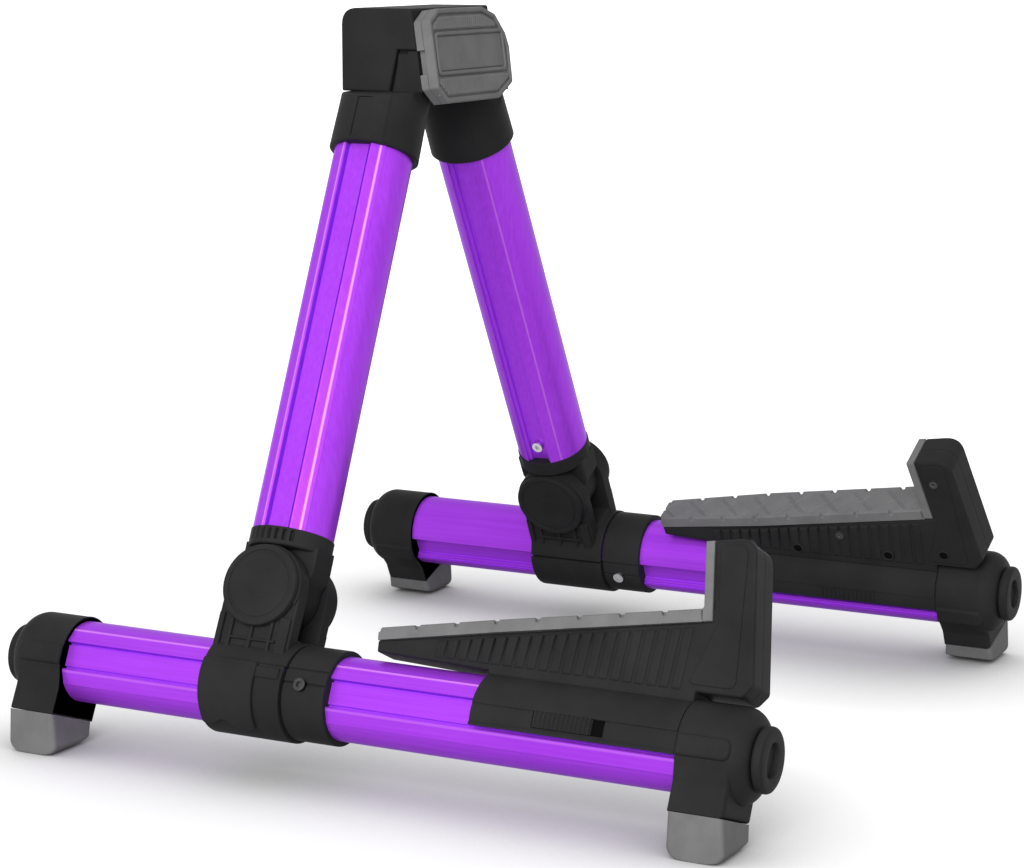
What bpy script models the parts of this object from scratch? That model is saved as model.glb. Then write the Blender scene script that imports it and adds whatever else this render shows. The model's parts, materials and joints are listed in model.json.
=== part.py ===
"""Folding guitar stand: an A-frame of two leaning legs under a padded head.

Each side has an upright tube that hangs from a pivot pin in the head, a foot tube hinged to the
upright by a pin between two ears, and a support arm on a sleeve that turns on the foot tube.
The left side is at -X and the guitar faces -Y. Lengths are in metres, written as millimetres * MM.

One design serves both sides. A piece is drawn in neutral coordinates (u, s, v): u points outward
from the middle of the stand, s forward, and v up along the leaning leg. settle() then turns them
into x = side * u, y = -s, z = v in the frame of the body that carries the piece.
"""
import math

import bmesh
import bpy
from mathutils import Matrix, Vector

MM = 0.001
SIDES = {"left": -1, "right": 1}

# Stance of the whole stand
LEAN = math.radians(26.5)
RAKE = math.radians(1.3)
BASE_AXIS_HEIGHT = 30.8 * MM
PIVOT_HALF_SPACING = 18.0 * MM
PIVOT_TO_PIN = 207.0 * MM
PIVOT_INSET = 6.0 * MM

# Clearances, and how far a cutter passes the face it cuts or a blank reaches into its neighbour
FIT = 0.3 * MM
RUNNING = 0.5 * MM
PAST = 1.0 * MM
OVERLAP = 0.5 * MM
TOLERANCE = 0.01 * MM
NEAR = 0.1 * MM
WELD = 0.001 * MM

# Aluminium tube, the same extrusion for the uprights and the foot tubes
TUBE_RADIUS = 15.0 * MM
TUBE_WALL = 1.8 * MM
OUTER_CHANNEL_WIDTH = 9.6 * MM
INNER_CHANNEL_WIDTH = 10.4 * MM
OUTER_CHANNEL_DEPTH = 1.5 * MM
INNER_CHANNEL_DEPTH = 3.6 * MM
ARC_STEPS = 16

# The hinge pin over the foot tube, and stations along it from the mouth of the rear cap forward
PIN_ABOVE_TUBE = TUBE_RADIUS + 19.0 * MM
PIN_STATION = 76.0 * MM
FRONT_CAP_STATION = 246.0 * MM
MIDDLE_STATION = FRONT_CAP_STATION / 2

# End caps, their plugs and their rubber feet
CAP_WALL = 1.3 * MM
CAP_RADIUS = TUBE_RADIUS + FIT + CAP_WALL
CAP_BARREL = 18.5 * MM
CAP_LENGTH = 24.0 * MM
CAP_SOCKET_DEPTH = 12.0 * MM
CAP_BOSS_LENGTH = 8.0 * MM
CAP_RIB_WIDTH = 6.6 * MM
CAP_RIB_HEIGHT = 0.7 * MM
CAP_RIB_START = 1.0 * MM
PLUG_RADIUS = 11.2 * MM
PLUG_THICKNESS = 4.2 * MM
PLUG_EDGE = 0.9 * MM
PLUG_STEM_RADIUS = 4.0 * MM
PLUG_STEM_LENGTH = 3.0 * MM
PLUG_RECESS = (9.4 * MM, 12.6 * MM)
PLUG_RECESS_DEPTH = 1.6 * MM
NECK_HALF_WIDTH = 13.0 * MM
NECK_LENGTH = 19.5 * MM
NECK_CORNER = 1.2 * MM
FOOT_SEAM_DROP = TUBE_RADIUS + 6.5 * MM
FOOT_SEAM_TILT = math.radians(6.0)
FOOT_TOE_HEIGHT = 2.2 * MM
FOOT_TOE_WIDTH = 3.4 * MM
FOOT_TOE_REACH = 0.4 * MM
FOOT_FLARE = 0.9 * MM
FOOT_CORNER = 1.6 * MM

# Collar with the two hinge ears
COLLAR_START = 60.0 * MM
COLLAR_SEAM = 95.0 * MM
COLLAR_END = 111.5 * MM
COLLAR_RADIUS = TUBE_RADIUS + 2.0 * MM
COLLAR_SPLIT = 6.0 * MM
CLAMP_RADIUS = COLLAR_RADIUS + 1.2 * MM
CLAMP_GAP = 2.2 * MM
SADDLE_HEIGHT = COLLAR_RADIUS + 0.4 * MM
EAR_RADIUS = 15.6 * MM
EAR_INNER = 7.0 * MM
EAR_OUTER = 13.0 * MM
HINGE_PIN_RADIUS = 2.9 * MM
HINGE_DISC_RADIUS = 15.0 * MM
HINGE_DISC_THICKNESS = 3.0 * MM
HINGE_DISC_RIM = 2.2 * MM
HINGE_DISC_RECESS = 0.5 * MM
HINGE_DISC_EDGE = 0.6 * MM
HINGE_PIN_SETBACK = 0.2 * MM

# Latch on the outside of the clamp
LATCH_START = 65.5 * MM
LATCH_END = 84.0 * MM
LATCH_THICKNESS = 1.7 * MM
LATCH_TOP_ANGLE = math.radians(14.0)
LATCH_SWEEP = math.radians(74.0)
LATCH_SCALLOP_RADIUS = 4.2 * MM
LATCH_KNUCKLE_EXTRA = 0.2 * MM

# Lower fitting of the upright
TONGUE_HALF_THICKNESS = 6.5 * MM
TONGUE_RADIUS = 13.0 * MM
SHOULDER_BOTTOM = 3.0 * MM
SHOULDER_TOP = 8.0 * MM
FITTING_BARREL_START = 16.1 * MM
FITTING_BARREL_RADIUS = TUBE_RADIUS + 0.4 * MM
TUBE_START = 22.0 * MM
SPIGOT_LENGTH = 13.0 * MM

# Upper socket of the upright and its pivot in the head
SOCKET_START = 171.0 * MM
SOCKET_LENGTH = 17.3 * MM
SOCKET_RADIUS = TUBE_RADIUS + 2.2 * MM
SOCKET_TOP_RADIUS = SOCKET_RADIUS - 0.5 * MM
SOCKET_DEPTH = 13.0 * MM
CROWN_GAP = 0.9 * MM
CROWN_FRONT = 15.4 * MM
SOCKET_TONGUE_RADIUS = 6.5 * MM
SOCKET_TONGUE_HALF_DEPTH = 7.0 * MM
PIVOT_PIN_RADIUS = 2.2 * MM

# Screws
SCREW_HEAD_RADIUS = 2.3 * MM
SCREW_HEAD_HEIGHT = 1.4 * MM
SCREW_SHANK_RADIUS = 1.4 * MM
SCREW_DRIVE_RADIUS = 1.2 * MM
SCREW_DRIVE_DEPTH = 0.8 * MM
SCREW_SINK_MARGIN = 0.4 * MM
TUBE_SCREW_LENGTH = 7.0 * MM
TUBE_SCREW_HEIGHT = 29.0 * MM
COLLAR_SCREW_LENGTH = 3.6 * MM
COLLAR_SCREW_STATION = 103.0 * MM

# Head block and its pad
HEAD_SIDE = 13.0 * MM
HEAD_BELOW_PIVOT = 5.2 * MM
HEAD_ABOVE_PIVOT = 25.0 * MM
HEAD_BEHIND_PIVOT = 18.0 * MM
HEAD_AHEAD_OF_PIVOT = 14.8 * MM
HEAD_CORNER = 4.0 * MM
PIVOT_BORE_COVER = 3.0 * MM
POCKET_SIDE_WALL = 1.6 * MM
POCKET_INNER_REACH = 7.8 * MM
PAD_THICKNESS = 7.4 * MM
PAD_HEIGHT = 36.0 * MM
PAD_RISE = 8.6 * MM
PAD_TILT = math.radians(8.0)
PAD_CHAMFER = (9.0 * MM, 5.5 * MM)
PAD_BORDER = 3.4 * MM
PAD_GROOVE = 0.7 * MM
PAD_EDGE = 1.0 * MM
PLAQUE_HALF_HEIGHT = 6.6 * MM
PLAQUE_BAR = 1.1 * MM

# Support arm: the seat rises forward to an upright lip
SEAT_CORNER = (243.3 * MM, TUBE_RADIUS + 31.0 * MM)
SEAT_TILT = math.radians(9.5)
SEAT_LENGTH = 122.5 * MM
LIP_HEIGHT = 23.3 * MM
LIP_DEPTH = 18.2 * MM
LIP_CORNER = 6.5 * MM
LIP_EDGE = 1.2 * MM
RUBBER_THICKNESS = 4.5 * MM
RUBBER_CHAMFER = 1.4 * MM
SLEEVE_START = 169.5 * MM
SLEEVE_RADIUS = TUBE_RADIUS + FIT + 1.3 * MM
SLEEVE_WRAP_OUTSIDE = math.radians(17.5)
SLEEVE_WRAP_INSIDE = math.radians(0.5)
ARM_HALF_WIDTH = 8.7 * MM
ARM_TIP_HALF_WIDTH = 6.6 * MM
ARM_TIP_SLOPE = 0.5 * MM
ARM_TIP_BOTTOM = SLEEVE_RADIUS + 0.4 * MM
ARM_BELLY = SLEEVE_RADIUS - 0.9 * MM
ARM_STEP_GAP = 1.2 * MM
HEEL_SETBACK = 4.0 * MM
HEEL_SLOPE = 0.6 * MM
HEEL_RISE = 4.5 * MM
KEEL_HALF_THICKNESS = 1.5 * MM
KEEL_HEIGHT = SLEEVE_RADIUS + 5.9 * MM
KEEL_MARGIN = 6.0 * MM
SLIDER_LENGTH = 22.0 * MM
SLIDER_HALF_WIDTH = 2.8 * MM
SLIDER_START = 193.3 * MM
SLIDER_TRAVEL = 4.0 * MM
SLIDER_PROUD = 0.7 * MM
SLIDER_RIB_COUNT = 6
SLIDER_RIB_DEPTH = 0.5 * MM
ARM_SCREW_PLACES = {
    "tip": (153.0 * MM, SLEEVE_RADIUS + 4.4 * MM),
    "middle": (206.0 * MM, SLEEVE_RADIUS + 14.4 * MM),
    "lip": (251.5 * MM, SLEEVE_RADIUS + 43.4 * MM),
}
ARM_SINK_PLACES = (
    (186.0 * MM, SLEEVE_RADIUS + 5.9 * MM),
    (227.0 * MM, SLEEVE_RADIUS + 5.9 * MM),
    (250.5 * MM, SLEEVE_RADIUS + 8.4 * MM),
)

# Places that follow from the sizes above
UPRIGHT_RUN = PIN_ABOVE_TUBE + PIVOT_TO_PIN * math.cos(RAKE)
BASE_HALF_SPACING = (PIVOT_HALF_SPACING + UPRIGHT_RUN * math.sin(LEAN)
                     + PIVOT_INSET * math.cos(LEAN))
PIVOT_HEIGHT = (BASE_AXIS_HEIGHT + UPRIGHT_RUN * math.cos(LEAN)
                - PIVOT_INSET * math.sin(LEAN))
PIN_Y = MIDDLE_STATION - PIN_STATION
PIVOT_Y = PIN_Y + PIVOT_TO_PIN * math.sin(RAKE)
HEAD_HALF_WIDTH = PIVOT_HALF_SPACING + HEAD_SIDE
SLEEVE_END = FRONT_CAP_STATION - FIT

FRAME_MARK = 10.0 * MM
ANODISED = ("anodised_violet", (0.42, 0.03, 0.86, 1.0), 0.30, 0.75)
PLASTIC = ("black_nylon", (0.030, 0.030, 0.031, 1.0), 0.50, 0.0)
RUBBER = ("grey_rubber", (0.20, 0.20, 0.20, 1.0), 0.75, 0.0)
STEEL = ("bright_steel", (0.62, 0.62, 0.64, 1.0), 0.25, 1.0)


def start_scene():
    """Empty the file and make one collection for the stand and one for the cutters."""
    for old in list(bpy.data.objects):
        bpy.data.objects.remove(old, do_unlink=True)
    made = []
    for name in ("guitar_stand", "cutters"):
        collection = bpy.data.collections.new(name)
        bpy.context.scene.collection.children.link(collection)
        made.append(collection)
    return made


STAND, CUTTERS = start_scene()


def material(finish):
    """The Principled material of a finish, made once."""
    name, colour, roughness, metallic = finish
    found = bpy.data.materials.get(name)
    if found:
        return found
    made = bpy.data.materials.new(name)
    made.use_nodes = True
    shader = made.node_tree.nodes["Principled BSDF"]
    shader.inputs["Base Color"].default_value = colour
    shader.inputs["Roughness"].default_value = roughness
    shader.inputs["Metallic"].default_value = metallic
    made.diffuse_color = colour
    return made


# Blanks: plain solids in (u, s, v), kept as wire objects among the cutters until they are used

def blank(mesh):
    """A wire object around a mesh, hidden from rendering."""
    made = bpy.data.objects.new("blank", mesh)
    made.hide_render = True
    made.display_type = "WIRE"
    CUTTERS.objects.link(made)
    return made


def from_bmesh(shape):
    """A blank from a bmesh, turned so that its faces point out, and freed."""
    bmesh.ops.recalc_face_normals(shape, faces=shape.faces)
    if shape.calc_volume(signed=True) < 0:
        bmesh.ops.reverse_faces(shape, faces=shape.faces)
    mesh = bpy.data.meshes.new("blank")
    shape.to_mesh(mesh)
    shape.free()
    return blank(mesh)


def block(low, high):
    """A box from its lowest to its highest corner."""
    shape = bmesh.new()
    middle = (Vector(low) + Vector(high)) / 2
    size = Vector(high) - Vector(low)
    bmesh.ops.create_cube(shape, size=1.0, matrix=Matrix.Translation(middle) @ Matrix.Diagonal((*size, 1)))
    return from_bmesh(shape)


def turn_to(axis):
    """The turn that lays a shape made along Z on the axis u, s or v."""
    if axis == "u":
        return Matrix.Rotation(math.pi / 2, 4, "Y")
    if axis == "s":
        return Matrix.Rotation(-math.pi / 2, 4, "X")
    return Matrix.Identity(4)


def rod(axis, centre, start, end, radius, far_radius=None, sides=32):
    """A round bar or cone along an axis; centre holds its other two coordinates."""
    middle = Vector(centre)
    middle["usv".index(axis)] = (start + end) / 2
    shape = bmesh.new()
    place = Matrix.Translation(middle) @ turn_to(axis)
    bmesh.ops.create_cone(shape, cap_ends=True, segments=sides, radius1=radius,
                          radius2=radius if far_radius is None else far_radius,
                          depth=end - start, matrix=place)
    return from_bmesh(shape)


def evaluated_mesh(source):
    """The mesh of an object with its modifiers applied, as a new mesh."""
    bpy.context.view_layer.update()
    graph = bpy.context.evaluated_depsgraph_get()
    return bpy.data.meshes.new_from_object(source.evaluated_get(graph))


def discard(*used):
    """Remove blanks that have done their work."""
    for item in used:
        bpy.data.objects.remove(item, do_unlink=True)


def prism(outline, axis, start, end, hole=None):
    """A flat outline, with an optional hole, drawn out along an axis.

    The outline is in (s, v) for the axis u, in (u, v) for the axis s and in (u, s) for the axis v.
    """
    curve = bpy.data.curves.new("outline", "CURVE")
    curve.dimensions = "2D"
    curve.fill_mode = "BOTH"
    curve.extrude = (end - start) / 2
    for loop in (outline, hole):
        if loop:
            spline = curve.splines.new("POLY")
            spline.points.add(len(loop) - 1)
            for point, (a, b) in zip(spline.points, loop):
                point.co = (a, b, 0.0, 1.0)
            spline.use_cyclic_u = True
    drawn = bpy.data.objects.new("outline", curve)
    CUTTERS.objects.link(drawn)
    mesh = evaluated_mesh(drawn)
    discard(drawn)
    shape = bmesh.new()
    shape.from_mesh(mesh)
    bpy.data.meshes.remove(mesh)
    bmesh.ops.remove_doubles(shape, verts=shape.verts, dist=WELD)
    middle = (start + end) / 2
    for corner in shape.verts:
        a, b, c = corner.co
        c += middle
        if axis == "u":
            corner.co = (c, a, b)
        elif axis == "s":
            corner.co = (a, c, b)
        else:
            corner.co = (a, b, c)
    return from_bmesh(shape)


def turned(profile, axis, centre, sides=40):
    """A solid of revolution about an axis; the profile runs (radius, distance along the axis)."""
    mesh = bpy.data.meshes.new("profile")
    points = [(radius, 0.0, height) for radius, height in profile]
    mesh.from_pydata(points, [(i, i + 1) for i in range(len(points) - 1)], [])
    lathe = blank(mesh)
    screw = lathe.modifiers.new("turn", "SCREW")
    screw.axis = "Z"
    screw.steps = sides
    screw.render_steps = sides
    screw.use_merge_vertices = True
    screw.merge_threshold = WELD
    made = evaluated_mesh(lathe)
    discard(lathe)
    shape = bmesh.new()
    shape.from_mesh(made)
    bpy.data.meshes.remove(made)
    bmesh.ops.remove_doubles(shape, verts=shape.verts, dist=WELD)
    bmesh.ops.transform(shape, verts=shape.verts, matrix=Matrix.Translation(centre) @ turn_to(axis))
    return from_bmesh(shape)


def combine(target, others, operation):
    """Join others to the target, or cut them out of it, with exact Booleans."""
    for other in others:
        step = target.modifiers.new("step", "BOOLEAN")
        step.operation = operation
        step.object = other
    mesh = evaluated_mesh(target)
    discard(target, *others)
    return blank(mesh)


def join(target, *others):
    """The union of blanks."""
    return combine(target, others, "UNION")


def cut(target, *cutters):
    """The target with the cutters taken out."""
    return combine(target, cutters, "DIFFERENCE")


def round_edges(target, width, chosen, segments=2):
    """Round the edges that chosen(edge) picks."""
    shape = bmesh.new()
    shape.from_mesh(target.data)
    edges = [edge for edge in shape.edges if chosen(edge)]
    bmesh.ops.bevel(shape, geom=edges, offset=width, segments=segments, profile=0.5,
                    affect="EDGES", clamp_overlap=True)
    shape.to_mesh(target.data)
    shape.free()
    return target


def is_sharp(edge, angle=math.radians(40)):
    """True for an edge between two faces that meet at more than the angle."""
    return len(edge.link_faces) == 2 and edge.calc_face_angle(0.0) > angle


def runs_along(edge, axis):
    """True for an edge that runs along the axis u, s or v."""
    direction = (edge.verts[0].co - edge.verts[1].co).normalized()
    return abs(direction["usv".index(axis)]) > 0.99


def arc(centre, radius, start, end, steps):
    """Points of an arc from one angle to another, both ends included."""
    angles = [start + (end - start) * i / steps for i in range(steps + 1)]
    return [(centre[0] + radius * math.cos(a), centre[1] + radius * math.sin(a)) for a in angles]


def settle(name, drawn, side, frame, origin, finish):
    """Turn a blank into a finished node: mirror it to its side and hang it in its frame."""
    shape = bmesh.new()
    shape.from_mesh(drawn.data)
    discard(drawn)
    bmesh.ops.translate(shape, verts=shape.verts, vec=-Vector(origin))
    bmesh.ops.transform(shape, verts=shape.verts, matrix=Matrix.Diagonal((side, -1, 1, 1)))
    if side > 0:
        bmesh.ops.reverse_faces(shape, faces=shape.faces)
    mesh = bpy.data.meshes.new(name)
    shape.to_mesh(mesh)
    shape.free()
    mesh.shade_smooth()
    mesh.set_sharp_from_angle(angle=math.radians(35))
    mesh.materials.append(material(finish))
    node = bpy.data.objects.new(name, mesh)
    STAND.objects.link(node)
    node.parent = frame
    return node


def frame_at(name, place, parent=None):
    """An empty on a joint's axis that carries the pieces of one body."""
    empty = bpy.data.objects.new(name, None)
    empty.empty_display_size = FRAME_MARK
    STAND.objects.link(empty)
    if parent:
        empty.parent = parent
    bpy.context.view_layer.update()
    empty.matrix_world = place
    bpy.context.view_layer.update()
    return empty


# Shapes that several pieces share

def tube_outline(inset=0.0):
    """Cross-section of the extruded tube, shrunk by the inset: round, with a channel each side.

    A negative inset gives the keyed bore of a piece that fits over the tube.
    """
    radius = TUBE_RADIUS - inset
    outer_half = OUTER_CHANNEL_WIDTH / 2 + inset
    inner_half = INNER_CHANNEL_WIDTH / 2 + inset
    outer_lip = math.asin(outer_half / radius)
    inner_lip = math.asin(inner_half / radius)
    outer_floor = min(radius - OUTER_CHANNEL_DEPTH, radius * math.cos(outer_lip) - FIT)
    inner_floor = min(radius - INNER_CHANNEL_DEPTH, radius * math.cos(inner_lip) - FIT)
    top = arc((0, 0), radius, outer_lip, math.pi - inner_lip, ARC_STEPS)
    bottom = arc((0, 0), radius, math.pi + inner_lip, 2 * math.pi - outer_lip, ARC_STEPS)
    return (top + [(-inner_floor, inner_half), (-inner_floor, -inner_half)]
            + bottom + [(outer_floor, -outer_half), (outer_floor, outer_half)])


def screw_blank(axis, head, direction, shank):
    """A screw whose head sits at a point and whose shank runs along the axis, inward from it.

    direction is +1 where the head faces the positive end of the axis and -1 where it faces the other.
    """
    index = "usv".index(axis)
    face = head[index]

    def along(low, high):
        return sorted((face + direction * low, face + direction * high))

    made = join(rod(axis, head, *along(0, SCREW_HEAD_HEIGHT), SCREW_HEAD_RADIUS, sides=20),
                rod(axis, head, *along(-shank, OVERLAP), SCREW_SHANK_RADIUS, sides=12))
    drive = rod(axis, head, *along(SCREW_HEAD_HEIGHT - SCREW_DRIVE_DEPTH, SCREW_HEAD_HEIGHT + PAST),
                SCREW_DRIVE_RADIUS, sides=6)
    return cut(made, drive)


def screw_hole(axis, head, direction, shank):
    """The hole for such a screw: the shank's way in."""
    face = head["usv".index(axis)]
    ends = sorted((face - direction * (shank + FIT), face + direction * PAST))
    return rod(axis, head, *ends, SCREW_SHANK_RADIUS + FIT, sides=12)


# Foot tube, its caps, plugs and feet

def base_tube_blank():
    """The foot tube, from inside the rear cap to inside the front cap."""
    inside = CAP_SOCKET_DEPTH - FIT
    return prism(tube_outline(), "s", -inside, FRONT_CAP_STATION + inside, tube_outline(TUBE_WALL))


def seam_height(u):
    """Height v of the line between the plastic neck and the rubber foot."""
    return -FOOT_SEAM_DROP - u * math.tan(FOOT_SEAM_TILT)


def floor_height(u):
    """Height v of the floor under the leaning foot."""
    return (-BASE_AXIS_HEIGHT - u * math.sin(LEAN)) / math.cos(LEAN)


def cap_blank(mouth, forward):
    """An end cap: a keyed socket for the tube, a domed end and a neck down to the foot.

    mouth is the station of its open end and forward is +1 at the front and -1 at the rear.
    """
    def station(depth):
        return mouth + forward * depth

    def span(near, far):
        return sorted((station(near), station(far)))

    shoulder = arc((CAP_RADIUS - (CAP_LENGTH - CAP_BARREL), CAP_BARREL),
                   CAP_LENGTH - CAP_BARREL, 0, math.pi / 2, 5)
    profile = [(0, 0), (CAP_RADIUS, 0)] + shoulder + [(0, CAP_LENGTH)]
    profile = [(radius, forward * depth) for radius, depth in profile]
    body = turned(profile, "s", (0, mouth, 0))
    neck_outline = [(NECK_HALF_WIDTH, 0), (NECK_HALF_WIDTH, seam_height(NECK_HALF_WIDTH)),
                    (-NECK_HALF_WIDTH, seam_height(-NECK_HALF_WIDTH)), (-NECK_HALF_WIDTH, 0)]
    neck = prism(neck_outline, "s", *span(FIT, NECK_LENGTH))
    round_edges(neck, NECK_CORNER, lambda edge: runs_along(edge, "v"))
    rib_reach = CAP_RADIUS + CAP_RIB_HEIGHT
    rib_low, rib_high = span(CAP_RIB_START, CAP_BARREL)
    rib = block((-rib_reach, rib_low, -CAP_RIB_WIDTH / 2), (rib_reach, rib_high, CAP_RIB_WIDTH / 2))
    body = join(body, neck, rib)
    bore = prism(tube_outline(-FIT), "s", *span(-PAST, CAP_SOCKET_DEPTH))
    stem_hole = rod("s", (0, 0, 0), *span(CAP_LENGTH - PLUG_STEM_LENGTH - FIT, CAP_LENGTH + PAST),
                    PLUG_STEM_RADIUS + FIT, sides=20)
    body = cut(body, bore, stem_hole)
    boss = prism(tube_outline(TUBE_WALL + FIT), "s",
                 *span(CAP_SOCKET_DEPTH - CAP_BOSS_LENGTH, CAP_SOCKET_DEPTH + OVERLAP))
    return join(body, boss)


def plug_blank(mouth, forward):
    """The round end plug with an oval hollow in its face and a stem into the cap."""
    def span(near, far):
        return sorted((mouth + forward * near, mouth + forward * far))

    seat = CAP_LENGTH + FIT
    face = CAP_LENGTH + PLUG_THICKNESS
    disc = rod("s", (0, 0, 0), *span(seat, face), PLUG_RADIUS, sides=36)
    outer_station = mouth + forward * face

    def on_outer_rim(edge):
        return is_sharp(edge) and all(abs(end.co.y - outer_station) < TOLERANCE for end in edge.verts)

    round_edges(disc, PLUG_EDGE, on_outer_rim)
    stem = rod("s", (0, 0, 0), *span(CAP_LENGTH - PLUG_STEM_LENGTH, seat + OVERLAP),
               PLUG_STEM_RADIUS, sides=20)
    half_width = PLUG_RECESS[0] / 2
    straight = (PLUG_RECESS[1] - PLUG_RECESS[0]) / 2
    oval = (arc((0, straight), half_width, 0, math.pi, 8)
            + arc((0, -straight), half_width, math.pi, 2 * math.pi, 8))
    hollow = prism(oval, "s", *span(face - PLUG_RECESS_DEPTH, face + PAST))
    return cut(join(disc, stem), hollow)


def foot_blank(mouth, forward):
    """The rubber foot: its top meets the neck, its outer side is plumb and its sole is flat."""
    u = NECK_HALF_WIDTH
    top_outer = seam_height(u) - FIT
    drop = BASE_AXIS_HEIGHT + u * math.sin(LEAN) + top_outer * math.cos(LEAN)
    sole_outer = (u - drop * math.sin(LEAN), top_outer - drop * math.cos(LEAN))
    toe_u = -u - FOOT_TOE_REACH
    toe = (toe_u, floor_height(toe_u) + FOOT_TOE_HEIGHT / math.cos(LEAN))
    sole_inner_u = toe_u + FOOT_TOE_WIDTH
    sole_inner = (sole_inner_u, floor_height(sole_inner_u))
    outline = [(u, top_outer), sole_outer, sole_inner, toe, (-u, seam_height(-u) - FIT)]
    ends = sorted((mouth, mouth + forward * NECK_LENGTH))
    foot = prism(outline, "s", *ends)
    middle = sum(ends) / 2
    lowest = sole_outer[1]
    for corner in foot.data.vertices:
        depth = (corner.co.z - top_outer) / (lowest - top_outer)
        flare = FOOT_FLARE * max(0.0, min(1.0, depth))
        corner.co.y += flare if corner.co.y > middle else -flare

    def below_seam(edge):
        heights = [end.co.z - seam_height(end.co.x) for end in edge.verts]
        return is_sharp(edge, math.radians(30)) and min(heights) < -PAST and max(heights) < -FIT / 2

    def picked(edge):
        at_top = [abs(end.co.z - seam_height(end.co.x) + FIT) < NEAR for end in edge.verts]
        return below_seam(edge) and not all(at_top)

    return round_edges(foot, FOOT_CORNER, picked)


# Collar, clamp and latch round the foot tube, and the hinge pin and its cover discs

def collar_bore():
    """The keyed bore for the tube, past both ends of the collar."""
    return prism(tube_outline(-FIT), "s", COLLAR_START - PAST, COLLAR_END + PAST)


def collar_blank():
    """The upper collar: a ring at the front, a saddle behind it, and two ears for the hinge pin."""
    ring = rod("s", (0, 0, 0), COLLAR_START, COLLAR_END, COLLAR_RADIUS, sides=48)
    crown = arc((PIN_STATION, PIN_ABOVE_TUBE), EAR_RADIUS, 0, math.pi, 18)
    ear_outline = crown + [(PIN_STATION - EAR_RADIUS, 0), (PIN_STATION + EAR_RADIUS, 0)]
    ears = [prism(ear_outline, "u", EAR_INNER, EAR_OUTER),
            prism(ear_outline, "u", -EAR_OUTER, -EAR_INNER)]
    saddle = block((-EAR_OUTER, PIN_STATION - EAR_RADIUS, 0),
                   (EAR_OUTER, PIN_STATION + EAR_RADIUS, SADDLE_HEIGHT))
    body = join(ring, saddle, *ears)
    pin_hole = rod("u", (0, PIN_STATION, PIN_ABOVE_TUBE), -EAR_OUTER - PAST, EAR_OUTER + PAST,
                   HINGE_PIN_RADIUS + FIT, sides=24)
    reach = CLAMP_RADIUS + PAST
    clamp_space = block((-reach, COLLAR_START - PAST, -reach), (reach, COLLAR_SEAM, COLLAR_SPLIT))
    body = cut(body, pin_hole, clamp_space, collar_bore())
    holes = [screw_hole("u", head, direction, COLLAR_SCREW_LENGTH)
             for head, direction in collar_screw_heads().values()]
    return cut(body, *holes)


def clamp_blank():
    """The lower half of the collar, with the gap that lets it close on the tube."""
    shell = rod("s", (0, 0, 0), COLLAR_START, COLLAR_SEAM - FIT, CLAMP_RADIUS, sides=48)
    reach = CLAMP_RADIUS + PAST
    split = COLLAR_SPLIT - FIT
    upper = block((-reach, COLLAR_START - PAST, split), (reach, COLLAR_SEAM, reach))
    gap = block((-reach, COLLAR_START - PAST, split - CLAMP_GAP), (0, COLLAR_SEAM, reach))
    return cut(shell, upper, gap, collar_bore())


def latch_axis():
    """Where the latch turns: (u, v) of its knuckle at the top of the clamp."""
    radius = CLAMP_RADIUS + FIT + LATCH_THICKNESS / 2
    return radius * math.cos(LATCH_TOP_ANGLE), radius * math.sin(LATCH_TOP_ANGLE)


def latch_blank():
    """A curved lever over the clamp, hinged at its top edge, with a finger scallop below."""
    inner = CLAMP_RADIUS + FIT
    outer = inner + LATCH_THICKNESS
    low = LATCH_TOP_ANGLE - LATCH_SWEEP
    outline = (arc((0, 0), outer, low, LATCH_TOP_ANGLE, 12)
               + arc((0, 0), inner, LATCH_TOP_ANGLE, low, 12))
    panel = prism(outline, "s", LATCH_START, LATCH_END)
    u, v = latch_axis()
    knuckle_radius = LATCH_THICKNESS / 2 + LATCH_KNUCKLE_EXTRA
    knuckle = rod("s", (u, 0, v), LATCH_START, LATCH_END, knuckle_radius, sides=16)
    clear_clamp = rod("s", (0, 0, 0), LATCH_START - PAST, LATCH_END + PAST, inner, sides=96)
    scallop = rod("u", (0, (LATCH_START + LATCH_END) / 2, outer * math.sin(low)),
                  0, outer + PAST, LATCH_SCALLOP_RADIUS, sides=20)
    return cut(join(panel, knuckle), clear_clamp, scallop)


def hinge_pin_blank():
    """The steel pin through both ears and the tongue."""
    reach = EAR_OUTER - HINGE_PIN_SETBACK
    return rod("u", (0, PIN_STATION, PIN_ABOVE_TUBE), -reach, reach, HINGE_PIN_RADIUS, sides=20)


def hinge_disc_blank(direction):
    """A round cover over one end of the pin, with a raised rim and a bare, slightly sunk face."""
    seat = EAR_OUTER + FIT
    face = seat + HINGE_DISC_THICKNESS
    rim = HINGE_DISC_RADIUS - HINGE_DISC_RIM
    profile = [(0, seat), (HINGE_DISC_RADIUS, seat), (HINGE_DISC_RADIUS, face - HINGE_DISC_EDGE),
               (HINGE_DISC_RADIUS - HINGE_DISC_EDGE, face), (rim, face),
               (rim - HINGE_DISC_EDGE / 2, face - HINGE_DISC_RECESS), (0, face - HINGE_DISC_RECESS)]
    profile = [(radius, direction * height) for radius, height in profile]
    return turned(profile, "u", (0, PIN_STATION, PIN_ABOVE_TUBE))


def collar_screw_heads():
    """The two collar screws: their seats on the ring and the way that each head faces."""
    seat = COLLAR_RADIUS + FIT
    return {"outer": ((seat, COLLAR_SCREW_STATION, 0), 1),
            "inner": ((-seat, COLLAR_SCREW_STATION, 0), -1)}


# Upright: tube, lower fitting and upper socket, drawn upward from the hinge pin

def tube_screw_head():
    """Seat of the screw that holds the upright tube to its fitting, on the inner channel's floor."""
    return (-(TUBE_RADIUS - INNER_CHANNEL_DEPTH) - FIT, 0, TUBE_SCREW_HEIGHT)


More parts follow.
